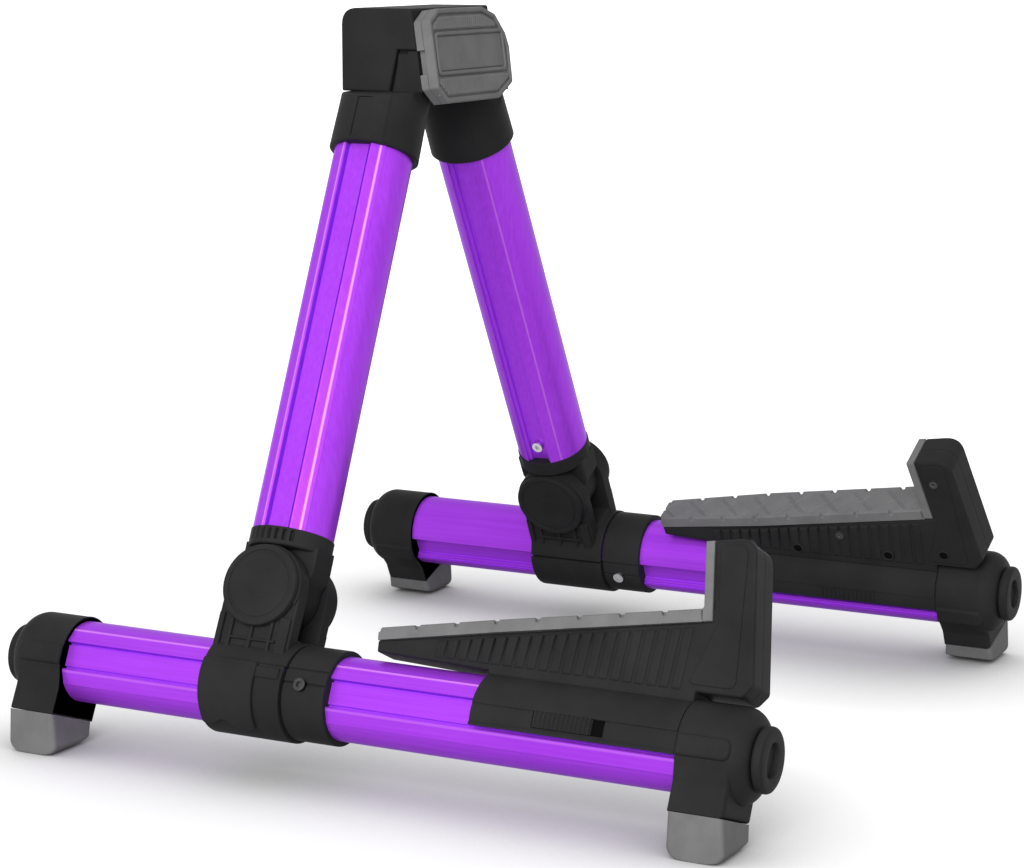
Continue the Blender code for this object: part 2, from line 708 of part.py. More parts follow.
def upright_tube_blank():
    """The upright tube, from the lower fitting to inside the upper socket."""
    tube = prism(tube_outline(), "v", TUBE_START + FIT, SOCKET_START + SOCKET_DEPTH - FIT,
                 tube_outline(TUBE_WALL))
    return cut(tube, screw_hole("u", tube_screw_head(), -1, TUBE_WALL + PAST))


def lower_fitting_blank():
    """Tongue between the ears, which widens into the barrel under the tube, and spigot inside it."""
    bottom = arc((0, 0), TONGUE_RADIUS, math.pi, 2 * math.pi, 18)
    side = [(TONGUE_RADIUS, SHOULDER_BOTTOM), (FITTING_BARREL_RADIUS, SHOULDER_TOP),
            (FITTING_BARREL_RADIUS, FITTING_BARREL_START + PAST)]
    outline = bottom + side + [(-s, v) for s, v in reversed(side)]
    tongue = prism(outline, "u", -TONGUE_HALF_THICKNESS, TONGUE_HALF_THICKNESS)
    barrel = rod("v", (0, 0, 0), FITTING_BARREL_START, TUBE_START, FITTING_BARREL_RADIUS, sides=48)
    spigot = prism(tube_outline(TUBE_WALL + FIT), "v", TUBE_START - OVERLAP,
                   TUBE_START + SPIGOT_LENGTH)
    pin_hole = rod("u", (0, 0, 0), -EAR_OUTER, EAR_OUTER, HINGE_PIN_RADIUS + FIT, sides=24)
    return cut(join(tongue, barrel, spigot), pin_hole,
               screw_hole("u", tube_screw_head(), -1, TUBE_SCREW_LENGTH))


def clear_of_head():
    """Cutters that keep the socket's crown clear of the head, open and folded, and of its pad."""
    pivot = Vector((-PIVOT_INSET, 0, PIVOT_TO_PIN))
    reach = 2 * SOCKET_RADIUS
    roof = HEAD_BELOW_PIVOT + CROWN_GAP
    folded = block((-reach, -reach, -roof), (reach, reach, reach))
    opened = block((-reach, -reach, -roof), (reach, reach, reach))
    opened.data.transform(Matrix.Rotation(LEAN, 4, "Y"))
    pad = block((-reach, CROWN_FRONT, SOCKET_START + SOCKET_LENGTH - PIVOT_TO_PIN), (reach, reach, reach))
    for cutter in (folded, opened, pad):
        cutter.data.transform(Matrix.Translation(pivot))
    return folded, opened, pad


def upper_socket_blank():
    """Socket over the top of the tube, with the tongue that hangs on the head's pivot pin."""
    top = PIVOT_TO_PIN
    barrel = rod("v", (0, 0, 0), SOCKET_START, top, SOCKET_RADIUS, SOCKET_TOP_RADIUS, sides=48)
    barrel = cut(barrel, *clear_of_head())
    pivot = (-PIVOT_INSET, PIVOT_TO_PIN)
    crown = arc(pivot, SOCKET_TONGUE_RADIUS, 0, math.pi, 14)
    root = SOCKET_START + SOCKET_LENGTH - PAST
    outline = crown + [(pivot[0] - SOCKET_TONGUE_RADIUS, root), (pivot[0] + SOCKET_TONGUE_RADIUS, root)]
    tongue = prism(outline, "s", -SOCKET_TONGUE_HALF_DEPTH, SOCKET_TONGUE_HALF_DEPTH)
    bore = prism(tube_outline(-FIT), "v", SOCKET_START - PAST, SOCKET_START + SOCKET_DEPTH)
    pin_hole = rod("s", (pivot[0], 0, pivot[1]), -2 * SOCKET_TONGUE_HALF_DEPTH,
                   2 * SOCKET_TONGUE_HALF_DEPTH, PIVOT_PIN_RADIUS + FIT, sides=24)
    return cut(join(barrel, tongue), bore, pin_hole)


# Support arm on its sleeve

def seat_point(along, above):
    """A point (s, v) given along the seat, forward from its corner, and square to it."""
    return (SEAT_CORNER[0] + along * math.cos(SEAT_TILT) - above * math.sin(SEAT_TILT),
            SEAT_CORNER[1] + along * math.sin(SEAT_TILT) + above * math.cos(SEAT_TILT))


def arm_outline():
    """Side view of the arm's shells in (s, v): tip, belly, saddle, heel, lip and seat."""
    under_rubber = RUBBER_THICKNESS + FIT
    tip_top = seat_point(-SEAT_LENGTH, -under_rubber)
    step = CAP_RADIUS + ARM_STEP_GAP
    lip_foot = seat_point(LIP_DEPTH, 0)
    heel_front = (lip_foot[0] + (lip_foot[1] - step) * math.tan(SEAT_TILT))
    corner = arc((0, 0), LIP_CORNER, 0, math.pi / 2, 6)
    lip_top = [seat_point(LIP_DEPTH - LIP_CORNER + a, LIP_HEIGHT - LIP_CORNER + b) for a, b in corner]
    return ([tip_top, (tip_top[0] + ARM_TIP_SLOPE, ARM_TIP_BOTTOM), (SLEEVE_START - FIT, ARM_BELLY),
             (SLEEVE_START - FIT, 0), (FRONT_CAP_STATION, 0), (FRONT_CAP_STATION, step),
             (heel_front - HEEL_SETBACK, step), (heel_front - HEEL_SLOPE, step + HEEL_RISE)]
            + lip_top + [seat_point(under_rubber, LIP_HEIGHT), seat_point(under_rubber, -under_rubber)])


def narrow_to_tip(drawn):
    """Draw the sides in evenly from the full width at the sleeve to the narrow tip."""
    tip = seat_point(-SEAT_LENGTH, 0)[0]
    for corner in drawn.data.vertices:
        share = max(0.0, min(1.0, (corner.co.y - tip) / (SLEEVE_START - tip)))
        corner.co.x *= (ARM_TIP_HALF_WIDTH + (ARM_HALF_WIDTH - ARM_TIP_HALF_WIDTH) * share) / ARM_HALF_WIDTH
    return drawn


def arm_shell_blank(direction):
    """One half of the arm, split down the middle; direction is +1 outside and -1 inside."""
    ends = sorted((direction * FIT / 2, direction * ARM_HALF_WIDTH))
    shell = narrow_to_tip(prism(arm_outline(), "u", *ends))
    face = direction * ARM_HALF_WIDTH

    def on_lip_face(edge):
        return (is_sharp(edge) and all(abs(end.co.x - face) < TOLERANCE for end in edge.verts)
                and all(end.co.y > FRONT_CAP_STATION - TOLERANCE for end in edge.verts)
                and all(end.co.z > CAP_RADIUS for end in edge.verts))

    round_edges(shell, LIP_EDGE, on_lip_face)
    sleeve_space = rod("s", (0, 0, 0), SLEEVE_START - PAST, FRONT_CAP_STATION + OVERLAP,
                       SLEEVE_RADIUS + FIT, sides=64)
    keel_space = block((-KEEL_HALF_THICKNESS - FIT, SLEEVE_START + KEEL_MARGIN - FIT, 0),
                       (KEEL_HALF_THICKNESS + FIT, SLEEVE_END - KEEL_MARGIN + FIT, KEEL_HEIGHT + FIT))
    shell = cut(shell, sleeve_space, keel_space)
    if direction < 0:
        places = (*ARM_SCREW_PLACES.values(), *ARM_SINK_PLACES)
        sinks = [rod("u", (0, s, v), face - PAST, face + SCREW_HEAD_HEIGHT + SCREW_SINK_MARGIN,
                     SCREW_HEAD_RADIUS + FIT, sides=20) for s, v in places]
        holes = [screw_hole("u", arm_screw_head(place), -1, ARM_HALF_WIDTH / 2)
                 for place in ARM_SCREW_PLACES.values()]
        shell = cut(shell, *sinks, *holes)
    return shell


def arm_screw_head(place):
    """Seat of one of the arm's screws, at the bottom of its sink in the inner shell."""
    return (-ARM_HALF_WIDTH + SCREW_HEAD_HEIGHT + SCREW_SINK_MARGIN - FIT, *place)


def arm_pad_blank():
    """The L-shaped rubber on the seat and the lip, chamfered along the top of the lip."""
    t = RUBBER_THICKNESS
    outline = [seat_point(-SEAT_LENGTH, -t), seat_point(t, -t), seat_point(t, LIP_HEIGHT),
               seat_point(0, LIP_HEIGHT), seat_point(0, 0), seat_point(-SEAT_LENGTH, 0)]
    pad = narrow_to_tip(prism(outline, "u", -ARM_HALF_WIDTH, ARM_HALF_WIDTH))
    top = seat_point(0, LIP_HEIGHT)

    def on_top_corner(edge):
        return runs_along(edge, "s") is False and is_sharp(edge) and all(
            end.co.z > top[1] - 2 * NEAR for end in edge.verts) and not runs_along(edge, "u")

    return round_edges(pad, RUBBER_CHAMFER, on_top_corner, segments=1)


def sleeve_blank():
    """The C-shaped sleeve on the foot tube, with a keel between the shells and the lock's window."""
    bore = TUBE_RADIUS + FIT
    start, end = -SLEEVE_WRAP_OUTSIDE, math.pi + SLEEVE_WRAP_INSIDE
    outline = arc((0, 0), SLEEVE_RADIUS, start, end, 32) + arc((0, 0), bore, end, start, 32)
    shell = prism(outline, "s", SLEEVE_START, SLEEVE_END)
    keel = block((-KEEL_HALF_THICKNESS, SLEEVE_START + KEEL_MARGIN, (bore + SLEEVE_RADIUS) / 2),
                 (KEEL_HALF_THICKNESS, SLEEVE_END - KEEL_MARGIN, KEEL_HEIGHT))
    window = block((0, SLIDER_START - FIT, -SLIDER_HALF_WIDTH - FIT),
                   (2 * SLEEVE_RADIUS, SLIDER_START + SLIDER_LENGTH + SLIDER_TRAVEL + FIT,
                    SLIDER_HALF_WIDTH + FIT))
    return cut(join(shell, keel), window)


def slider_blank():
    """The lock slider in the sleeve's window, with grip ribs across it."""
    end = SLIDER_START + SLIDER_LENGTH
    top = SLEEVE_RADIUS + SLIDER_PROUD
    body = block((TUBE_RADIUS + FIT, SLIDER_START, -SLIDER_HALF_WIDTH), (top, end, SLIDER_HALF_WIDTH))
    pitch = SLIDER_LENGTH / (SLIDER_RIB_COUNT + 1)
    grooves = []
    for i in range(1, SLIDER_RIB_COUNT + 1):
        middle = SLIDER_START + i * pitch
        grooves.append(block((top - SLIDER_RIB_DEPTH, middle - pitch / 4, -2 * SLIDER_HALF_WIDTH),
                             (top + PAST, middle + pitch / 4, 2 * SLIDER_HALF_WIDTH)))
    return cut(body, *grooves)


# Head, drawn from the middle between its two pivots: u is x here and v is height

def face_station(v):
    """How far ahead of the pivots the head's tilted front face is at a height v."""
    return HEAD_AHEAD_OF_PIVOT - (v - PAD_RISE) * math.tan(PAD_TILT)


def head_block_blank():
    """The head: a rounded block with a pocket and a pin bore for each upright's tongue."""
    low, high = -HEAD_BELOW_PIVOT, HEAD_ABOVE_PIVOT
    outline = [(-HEAD_BEHIND_PIVOT, low), (face_station(low), low),
               (face_station(high), high), (-HEAD_BEHIND_PIVOT, high)]
    body = prism(outline, "u", -HEAD_HALF_WIDTH, HEAD_HALF_WIDTH)

    def at_top_or_back(edge):
        behind = all(end.co.y < 0 for end in edge.verts)
        above = all(end.co.z > 0 for end in edge.verts)
        return is_sharp(edge) and (behind or above) and not all(end.co.z < 0 for end in edge.verts)

    round_edges(body, HEAD_CORNER, at_top_or_back, segments=4)
    tools = []
    for side in SIDES.values():
        x = side * PIVOT_HALF_SPACING
        edges = sorted((x - side * POCKET_INNER_REACH, side * (HEAD_HALF_WIDTH - POCKET_SIDE_WALL)))
        depth = SOCKET_TONGUE_HALF_DEPTH + RUNNING
        tools.append(block((edges[0], -depth, -2 * HEAD_BELOW_PIVOT),
                           (edges[1], depth, SOCKET_TONGUE_RADIUS + RUNNING)))
        tools.append(rod("s", (x, 0, 0), -HEAD_BEHIND_PIVOT + PIVOT_BORE_COVER, 2 * HEAD_AHEAD_OF_PIVOT,
                         PIVOT_PIN_RADIUS + FIT, sides=24))
    return cut(body, *tools)


def pivot_pin_blank(side):
    """A steel pivot pin, slipped in from the front under the pad."""
    return rod("s", (side * PIVOT_HALF_SPACING, 0, 0), -HEAD_BEHIND_PIVOT + PIVOT_BORE_COVER + FIT,
               face_station(PIVOT_PIN_RADIUS) - FIT, PIVOT_PIN_RADIUS, sides=20)


def octagon(half_width, half_height, chamfer):
    """A rectangle in (u, v) with its corners cut off."""
    cut_u, cut_v = chamfer
    quarter = [(half_width, half_height - cut_v), (half_width - cut_u, half_height)]
    upper = quarter + [(-u, v) for u, v in reversed(quarter)]
    return upper + [(u, -v) for u, v in reversed(upper)]


def head_pad_blank():
    """The grey rubber pad: an octagon with a sunk border line and a plain plaque across it."""
    half_height = PAD_HEIGHT / 2
    pad = prism(octagon(HEAD_HALF_WIDTH, half_height, PAD_CHAMFER), "s", FIT, PAD_THICKNESS)

    def on_front(edge):
        return is_sharp(edge) and all(end.co.y > PAD_THICKNESS - NEAR for end in edge.verts)

    round_edges(pad, PAD_EDGE, on_front)
    inner_half = HEAD_HALF_WIDTH - PAD_BORDER
    field_height = half_height - PAD_BORDER
    field = octagon(inner_half, field_height, (PAD_CHAMFER[0] * 0.9, PAD_CHAMFER[1] * 0.9))
    sunk = prism(field, "s", PAD_THICKNESS - PAD_GROOVE, PAD_THICKNESS + PAST)
    keep = block((-inner_half - PAST, 0, -PLAQUE_HALF_HEIGHT - PLAQUE_BAR),
                 (inner_half + PAST, 2 * PAD_THICKNESS, PLAQUE_HALF_HEIGHT + PLAQUE_BAR))
    plaque = block((-inner_half + PLAQUE_BAR, PAD_THICKNESS - 2 * PAD_GROOVE, -PLAQUE_HALF_HEIGHT),
                   (inner_half - PLAQUE_BAR, PAD_THICKNESS + PAST, PLAQUE_HALF_HEIGHT))
    pad = cut(pad, cut(sunk, keep), plaque)
    tilt = Matrix.Translation((0, HEAD_AHEAD_OF_PIVOT, PAD_RISE)) @ Matrix.Rotation(PAD_TILT, 4, "X")
    pad.data.transform(tilt)
    return pad


# The bodies and their pieces

def build_head():
    """The head body, which carries both uprights."""
    frame = frame_at("head_frame", Matrix.Translation((0, PIVOT_Y, PIVOT_HEIGHT)))
    middle = (0, 0, 0)
    settle("head_block", head_block_blank(), 1, frame, middle, PLASTIC)
    settle("head_pad", head_pad_blank(), 1, frame, middle, RUBBER)
    for name, side in SIDES.items():
        settle(f"pivot_pin_{name}", pivot_pin_blank(side), 1, frame, middle, STEEL)
    return frame


def build_upright(name, side, head_frame):
    """One upright; its frame is on the pivot in the head."""
    lean = Matrix.Rotation(-side * LEAN, 4, "Y") @ Matrix.Rotation(-RAKE, 4, "X")
    place = Matrix.Translation((side * PIVOT_HALF_SPACING, PIVOT_Y, PIVOT_HEIGHT)) @ lean
    frame = frame_at(f"{name}_upright_frame", place, head_frame)
    origin = (-PIVOT_INSET, 0, PIVOT_TO_PIN)
    screw = screw_blank("u", tube_screw_head(), -1, TUBE_SCREW_LENGTH - FIT)
    settle(f"upright_tube_{name}", upright_tube_blank(), side, frame, origin, ANODISED)
    settle(f"lower_fitting_{name}", lower_fitting_blank(), side, frame, origin, PLASTIC)
    settle(f"upper_socket_{name}", upper_socket_blank(), side, frame, origin, PLASTIC)
    settle(f"upright_screw_{name}", screw, side, frame, origin, STEEL)
    return frame


def base_place(side, station, height, outward=0.0):
    """World place of a point on the leaning foot tube's own axes."""
    axis = Matrix.Translation((side * BASE_HALF_SPACING, MIDDLE_STATION, BASE_AXIS_HEIGHT))
    return (axis @ Matrix.Rotation(-side * LEAN, 4, "Y")
            @ Matrix.Translation((side * outward, -station, height)))


def build_base(name, side, upright_frame):
    """One foot tube with its collar, caps and feet; its frame is on the hinge pin."""
    frame = frame_at(f"{name}_base_frame", base_place(side, PIN_STATION, PIN_ABOVE_TUBE), upright_frame)
    origin = (0, PIN_STATION, PIN_ABOVE_TUBE)
    settle(f"foot_tube_{name}", base_tube_blank(), side, frame, origin, ANODISED)
    settle(f"collar_{name}", collar_blank(), side, frame, origin, PLASTIC)
    settle(f"collar_clamp_{name}", clamp_blank(), side, frame, origin, PLASTIC)
    for part, (head, direction) in collar_screw_heads().items():
        screw = screw_blank("u", head, direction, COLLAR_SCREW_LENGTH - FIT)
        settle(f"collar_screw_{part}_{name}", screw, side, frame, origin, STEEL)
    settle(f"hinge_pin_{name}", hinge_pin_blank(), side, frame, origin, STEEL)
    settle(f"hinge_disc_outer_{name}", hinge_disc_blank(1), side, frame, origin, PLASTIC)
    settle(f"hinge_disc_inner_{name}", hinge_disc_blank(-1), side, frame, origin, PLASTIC)
    for end, mouth, forward in (("rear", 0.0, -1), ("front", FRONT_CAP_STATION, 1)):
        settle(f"{end}_cap_{name}", cap_blank(mouth, forward), side, frame, origin, PLASTIC)
        settle(f"{end}_plug_{name}", plug_blank(mouth, forward), side, frame, origin, PLASTIC)
        settle(f"{end}_foot_{name}", foot_blank(mouth, forward), side, frame, origin, RUBBER)
    u, v = latch_axis()
    latch_frame = frame_at(f"{name}_latch_frame", base_place(side, LATCH_START, v, u), frame)
    settle(f"latch_{name}", latch_blank(), side, latch_frame, (u, LATCH_START, v), PLASTIC)
    return frame


def build_arm(name, side, base_frame):
    """One support arm; its frame is on the foot tube's axis, which the sleeve turns about."""
    station = (SLEEVE_START + SLEEVE_END) / 2
    frame = frame_at(f"{name}_arm_frame", base_place(side, station, 0), base_frame)
    origin = (0, station, 0)
    settle(f"arm_outer_shell_{name}", arm_shell_blank(1), side, frame, origin, PLASTIC)
    settle(f"arm_inner_shell_{name}", arm_shell_blank(-1), side, frame, origin, PLASTIC)
    settle(f"arm_pad_{name}", arm_pad_blank(), side, frame, origin, RUBBER)
    settle(f"arm_sleeve_{name}", sleeve_blank(), side, frame, origin, PLASTIC)
    for part, place in ARM_SCREW_PLACES.items():
        screw = screw_blank("u", arm_screw_head(place), -1, ARM_HALF_WIDTH / 2 - FIT)
        settle(f"arm_screw_{part}_{name}", screw, side, frame, origin, STEEL)
    slider_place = base_place(side, SLIDER_START, 0, SLEEVE_RADIUS)
    slider_frame = frame_at(f"{name}_slider_frame", slider_place, frame)
    settle(f"lock_slider_{name}", slider_blank(), side, slider_frame,
           (SLEEVE_RADIUS, SLIDER_START, 0), PLASTIC)


def build_stand():
    """The whole stand, head first."""
    head_frame = build_head()
    for name, side in SIDES.items():
        upright_frame = build_upright(name, side, head_frame)
        base_frame = build_base(name, side, upright_frame)
        build_arm(name, side, base_frame)


build_stand()
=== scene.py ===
"""Folding guitar stand, dressed: violet anodised tubes, black nylon mouldings, grey rubber pads.

Neutral coordinates are in millimetres: u points outward from the middle of the stand, s forward and
v up along the leaning leg. A Place carries them into the stand's frame, once for each side.
"""
import json
import math

import bmesh
import bpy
import numpy as np
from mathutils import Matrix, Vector


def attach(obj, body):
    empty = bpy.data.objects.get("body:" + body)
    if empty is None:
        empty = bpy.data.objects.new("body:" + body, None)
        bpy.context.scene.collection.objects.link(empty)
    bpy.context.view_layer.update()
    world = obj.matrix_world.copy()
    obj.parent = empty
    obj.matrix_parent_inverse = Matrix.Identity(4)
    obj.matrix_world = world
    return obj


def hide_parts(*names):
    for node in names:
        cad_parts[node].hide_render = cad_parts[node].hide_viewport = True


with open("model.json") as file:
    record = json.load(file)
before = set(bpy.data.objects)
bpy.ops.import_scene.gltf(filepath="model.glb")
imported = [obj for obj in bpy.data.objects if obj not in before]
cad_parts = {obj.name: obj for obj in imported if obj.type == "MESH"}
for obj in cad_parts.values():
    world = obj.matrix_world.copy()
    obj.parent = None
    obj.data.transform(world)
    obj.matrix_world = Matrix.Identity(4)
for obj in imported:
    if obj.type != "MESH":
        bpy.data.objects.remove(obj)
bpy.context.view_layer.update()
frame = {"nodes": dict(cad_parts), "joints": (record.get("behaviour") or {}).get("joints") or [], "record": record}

MM = 0.001
SIDES = {"left": -1, "right": 1}

# Stance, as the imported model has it
LEAN = math.radians(26.5)
RAKE = math.radians(1.3)
JOINTS = {joint["name"]: [value / MM for value in joint["pos_m"]]
          for joint in frame["joints"] if "pos_m" in joint}
PIN_STATION = 76.0
PIVOT_TO_PIN = 207.0
PIVOT_INSET = 6.0
FIT = 0.3

# Tube
TUBE_RADIUS = 15.0
OUTER_LIPS = (4.4, -5.6)
OUTER_FLOOR = ((12.6, 4.1), (12.2, -5.3))
INNER_HALF = 5.2
INNER_STEP = (12.9, 3.7)
INNER_FLOOR = 11.3
LIP_ROUND = 0.75
TUBE_GRIP = 11.0
FITTING_TOP = 22.1

# Foot tube's fittings
FRONT_MOUTH = 246.0
CAP_RADIUS = 16.6
CAP_LENGTH = 24.0
CAP_BARREL = 17.0
CAP_FACE_RADIUS = 10.4
NECK_HALF = 13.0
NECK_LENGTH = 19.5
SEAM_DROP = 21.5
SEAM_TILT = math.radians(6.0)
BASE_HEIGHT = JOINTS["left_arm_swing"][2]

# Hinge and collar
HINGE_AT = (PIN_STATION, 34.0)
EAR_RADIUS = 15.6
EAR_INNER, EAR_OUTER = 7.0, 12.6
COLLAR_BORE = 15.4
COLLAR_START, COLLAR_JOINT, COLLAR_END = 61.0, 95.0, 112.4

# Support arm, its rubber and its sleeve
SEAT_CORNER = np.array([243.3, 46.0])
SEAT_TILT = math.radians(9.5)
SEAT_LENGTH = 122.5
LIP_RUBBER = 3.2
LIP_HEIGHT = 23.3
LIP_DEPTH = 18.2
RUBBER = 4.5
ARM_HALF = 8.7
TIP_HALF = 6.6
SLEEVE_START = 169.5
SLEEVE_END = 245.7
SLEEVE_BORE, SLEEVE_RADIUS = 15.35, 16.6
CAP_GAP = 1.2
NOTCH_PITCH = 15.5


class Place:
    """A frame of the stand: origin in millimetres and the world directions of u, s and v."""

    def __init__(self, origin, side=1, rake=0.0, lean=LEAN):
        forward = np.array([0.0, -1.0, 0.0])
        up = np.array([-side * math.sin(lean), 0.0, math.cos(lean)])
        self.origin = np.array(origin, float)
        self.u = np.array([side * math.cos(lean), 0.0, math.sin(lean)])
        self.s = math.cos(rake) * forward + math.sin(rake) * up
        self.v = math.cos(rake) * up - math.sin(rake) * forward

    def __call__(self, points):
        """World metres of points (..., 3): origin + u*U + s*S + v*V."""
        return (self.origin + points @ np.stack([self.u, self.s, self.v])) * MM


def base_place(name):
    """The foot tube's own frame: station 0 is the mouth of the rear cap."""
    x, _, z = JOINTS[f"{name}_arm_swing"]
    return Place((x, JOINTS[f"{name}_fold"][1] + PIN_STATION, z), SIDES[name])


def upright_place(name):
    """The upright's own frame: height 0 is the hinge pin."""
    pivot = np.array(JOINTS[f"{name}_spread"])
    place = Place(pivot, SIDES[name], RAKE)
    place.origin = pivot + PIVOT_INSET * place.u - PIVOT_TO_PIN * place.v
    return place


# Surfaces

def rounded(corners, radius, steps=6):
    """Closed outline with its corners rounded: at each, the quadratic curve between two points that
    lie radius / tan(half the angle) from the corner, or just under half of the shorter edge."""
    p = np.array(corners, float)
    back = np.roll(p, 1, 0) - p
    ahead = np.roll(p, -1, 0) - p
    long_back = np.maximum(np.linalg.norm(back, axis=1), 1e-9)
    long_ahead = np.maximum(np.linalg.norm(ahead, axis=1), 1e-9)
    cosine = (back * ahead).sum(1) / (long_back * long_ahead)
    half = np.arccos(np.clip(cosine, -0.9999, 0.9999)) / 2
    reach = np.minimum(np.broadcast_to(radius, len(p)) / np.tan(half),
                       0.46 * np.minimum(long_back, long_ahead))
    a = p + back * (reach / long_back)[:, None]
    b = p + ahead * (reach / long_ahead)[:, None]
    w = np.linspace(0, 1, steps)[None, :, None]
    curve = (1 - w) ** 2 * a[:, None] + 2 * w * (1 - w) * p[:, None] + w ** 2 * b[:, None]
    return curve.reshape(-1, 2)


class Profile:
    """A closed outline of corners and radii, which can be moved inward without crossing itself."""

    def __init__(self, corners, radii=0.0, steps=6):
        corners = np.array(corners, float)
        radii = np.array(np.broadcast_to(radii, len(corners)), float)
        x, y = corners.T
        if (x * np.roll(y, -1) - y * np.roll(x, -1)).sum() < 0:
            corners, radii = corners[::-1], radii[::-1]
        self.corners, self.radii, self.steps = corners, radii, steps

    def inset(self, by):
        """The outline with its edges moved inward: a corner goes along the sum of its edges' normals
        over 1 + their product, a convex one's radius shrinks by as much and a hollow one's grows."""
        edge = np.roll(self.corners, -1, 0) - self.corners
        edge = edge / np.maximum(np.linalg.norm(edge, axis=1, keepdims=True), 1e-9)
        normal = np.stack([edge[:, 1], -edge[:, 0]], 1)
        before = np.roll(normal, 1, 0)
        bend = before[:, 0] * normal[:, 1] - before[:, 1] * normal[:, 0]
        dot = np.maximum((normal * before).sum(1, keepdims=True), -0.8)
        moved = self.corners - by * (normal + before) / (1 + dot)
        radii = np.where(bend > 0, np.maximum(self.radii - by, 0.01), self.radii + by)
        return rounded(moved, radii, self.steps)


def arc(centre, radius, start, end, count):
    """Points of a circular arc; the angles are in degrees."""
    t = np.radians(np.linspace(start, end, count))
    return np.stack([centre[0] + radius * np.cos(t), centre[1] + radius * np.sin(t)], 1)


def box(low, high, radius, steps=4):
    """A rounded rectangle between two opposite corners."""
    (a, b), (c, d) = low, high
    return Profile([(a, b), (c, b), (c, d), (a, d)], radius, steps)


def turn_to(axis, grid):
    """(a, b, c) to (u, s, v), where c runs along the axis."""
    order = {"u": (2, 0, 1), "s": (0, 2, 1), "v": (0, 1, 2)}[axis]
    return grid[..., order]


def stacked(axis, loops, heights):
    """A grid with one loop at each height along the axis."""
    grid = np.stack([np.column_stack([loop, np.full(len(loop), height)])
                     for loop, height in zip(loops, heights)])
    return turn_to(axis, grid)


def moulding(axis, outline, low, high, low_round=0.5, high_round=0.5, steps=4):
    """An outline carried from low to high. Within the rounding of an end, the outline draws in by
    round * (1 - sin t) at the height round * (1 - cos t), t from 0 to 90 degrees."""
    shape = outline if isinstance(outline, Profile) else Profile(outline, 0.0, 1)
    t = np.linspace(0, math.pi / 2, steps)
    insets = np.concatenate([low_round * (1 - np.sin(t)), high_round * (1 - np.sin(t[::-1]))])
    heights = np.concatenate([low + low_round * (1 - np.cos(t)), high - high_round * (1 - np.cos(t[::-1]))])
    return stacked(axis, [shape.inset(inset) for inset in insets], heights)


def sideways(outline, inner, outer, inner_round, outer_round, steps=4):
    """An outline carried along u from its inner to its outer end, on either side of the middle."""
    ends, rounds = (inner, outer), (inner_round, outer_round)
    if outer < inner:
        ends, rounds = ends[::-1], rounds[::-1]
    return moulding("u", outline, *ends, *rounds, steps)


def turned(axis, profile, centre=(0.0, 0.0), count=72):
    """A profile of (radius, height) turned about an axis that passes through centre."""
    profile = np.asarray(profile, float)
    t = np.linspace(0, 2 * math.pi, count, endpoint=False)
    grid = np.empty((len(profile), count, 3))
    grid[..., 0] = centre[0] + profile[:, :1] * np.cos(t)
    grid[..., 1] = centre[1] + profile[:, :1] * np.sin(t)
    grid[..., 2] = profile[:, 1:]
    return turn_to(axis, grid)


def slab(axis, a, b, floor, height):
    """A closed slab as three grids over the coordinates a and b: a top that follows height(a, b), a
    flat floor and their wall."""
    def rim(sheet):
        return np.concatenate([sheet[0], sheet[1:, -1], sheet[-1, -2::-1], sheet[-2:0:-1, 0]])
    aa, bb = np.meshgrid(a, b, indexing="ij")
    top = np.stack([aa, bb, height(aa, bb)], -1)
    bottom = np.stack([aa, bb, np.full_like(aa, floor)], -1)
    return [turn_to(axis, sheet) for sheet in (top, bottom, np.stack([rim(bottom), rim(top)]))]


def sector(inner, outer, start, end, count=40):
    """Closed outline of a part of a ring, between two angles in degrees."""
    return np.concatenate([arc((0, 0), outer, start, end, count), arc((0, 0), inner, end, start, count)])


def grid_faces(rows, columns, closed):
    """Four-sided faces of a grid, whose last column joins the first where it is closed."""
    i = np.arange(rows - 1)[:, None]
    j = np.arange(columns if closed else columns - 1)[None, :]
    k = (j + 1) % columns
    return np.stack([i * columns + j, i * columns + k, (i + 1) * columns + k, (i + 1) * columns + j],
                    -1).reshape(-1, 4)


def shell_of(skin):
    """(points, faces) of a closed skin. The rows of a grid are loops, and both ends are capped unless
    the last row lies on the first. A slab's floor is turned over to match its top and wall."""
    if isinstance(skin, list):
        rows, columns, _ = skin[0].shape
        sheet = grid_faces(rows, columns, False)
        wall = grid_faces(*skin[2].shape[:2], True)
        faces = np.concatenate([sheet, sheet[:, ::-1] + rows * columns, wall + 2 * rows * columns])
        return np.concatenate([grid.reshape(-1, 3) for grid in skin]), faces.tolist()
    rows, columns, _ = skin.shape
    faces = grid_faces(rows, columns, True).tolist()
    joined = np.allclose(skin[0], skin[-1])
    for row, turn in ((0, -1), (rows - 1, 1)):
        if not joined and np.ptp(skin[row], axis=0).max() > 1e-6:
            loop = np.arange(columns) + row * columns
            faces.append(loop[::turn].tolist())
    return skin.reshape(-1, 3), faces


def volume_of(points, faces):
    """Six times the volume, by the divergence theorem: each face is a fan of triangles, and their
    triple products about the points' middle are summed."""
    points = points - points.mean(0)
    total = 0.0
    for size in {len(face) for face in faces}:
        corners = points[np.array([face for face in faces if len(face) == size])]
        total += (corners[:, :1] * np.cross(corners[:, 1:-1], corners[:, 2:])).sum()
    return total


def add_object(name, data, at=(0.0, 0.0, 0.0)):
    """A new object in the scene."""
    made = bpy.data.objects.new(name, data)
    bpy.context.scene.collection.objects.link(made)
    made.location = at
    return made


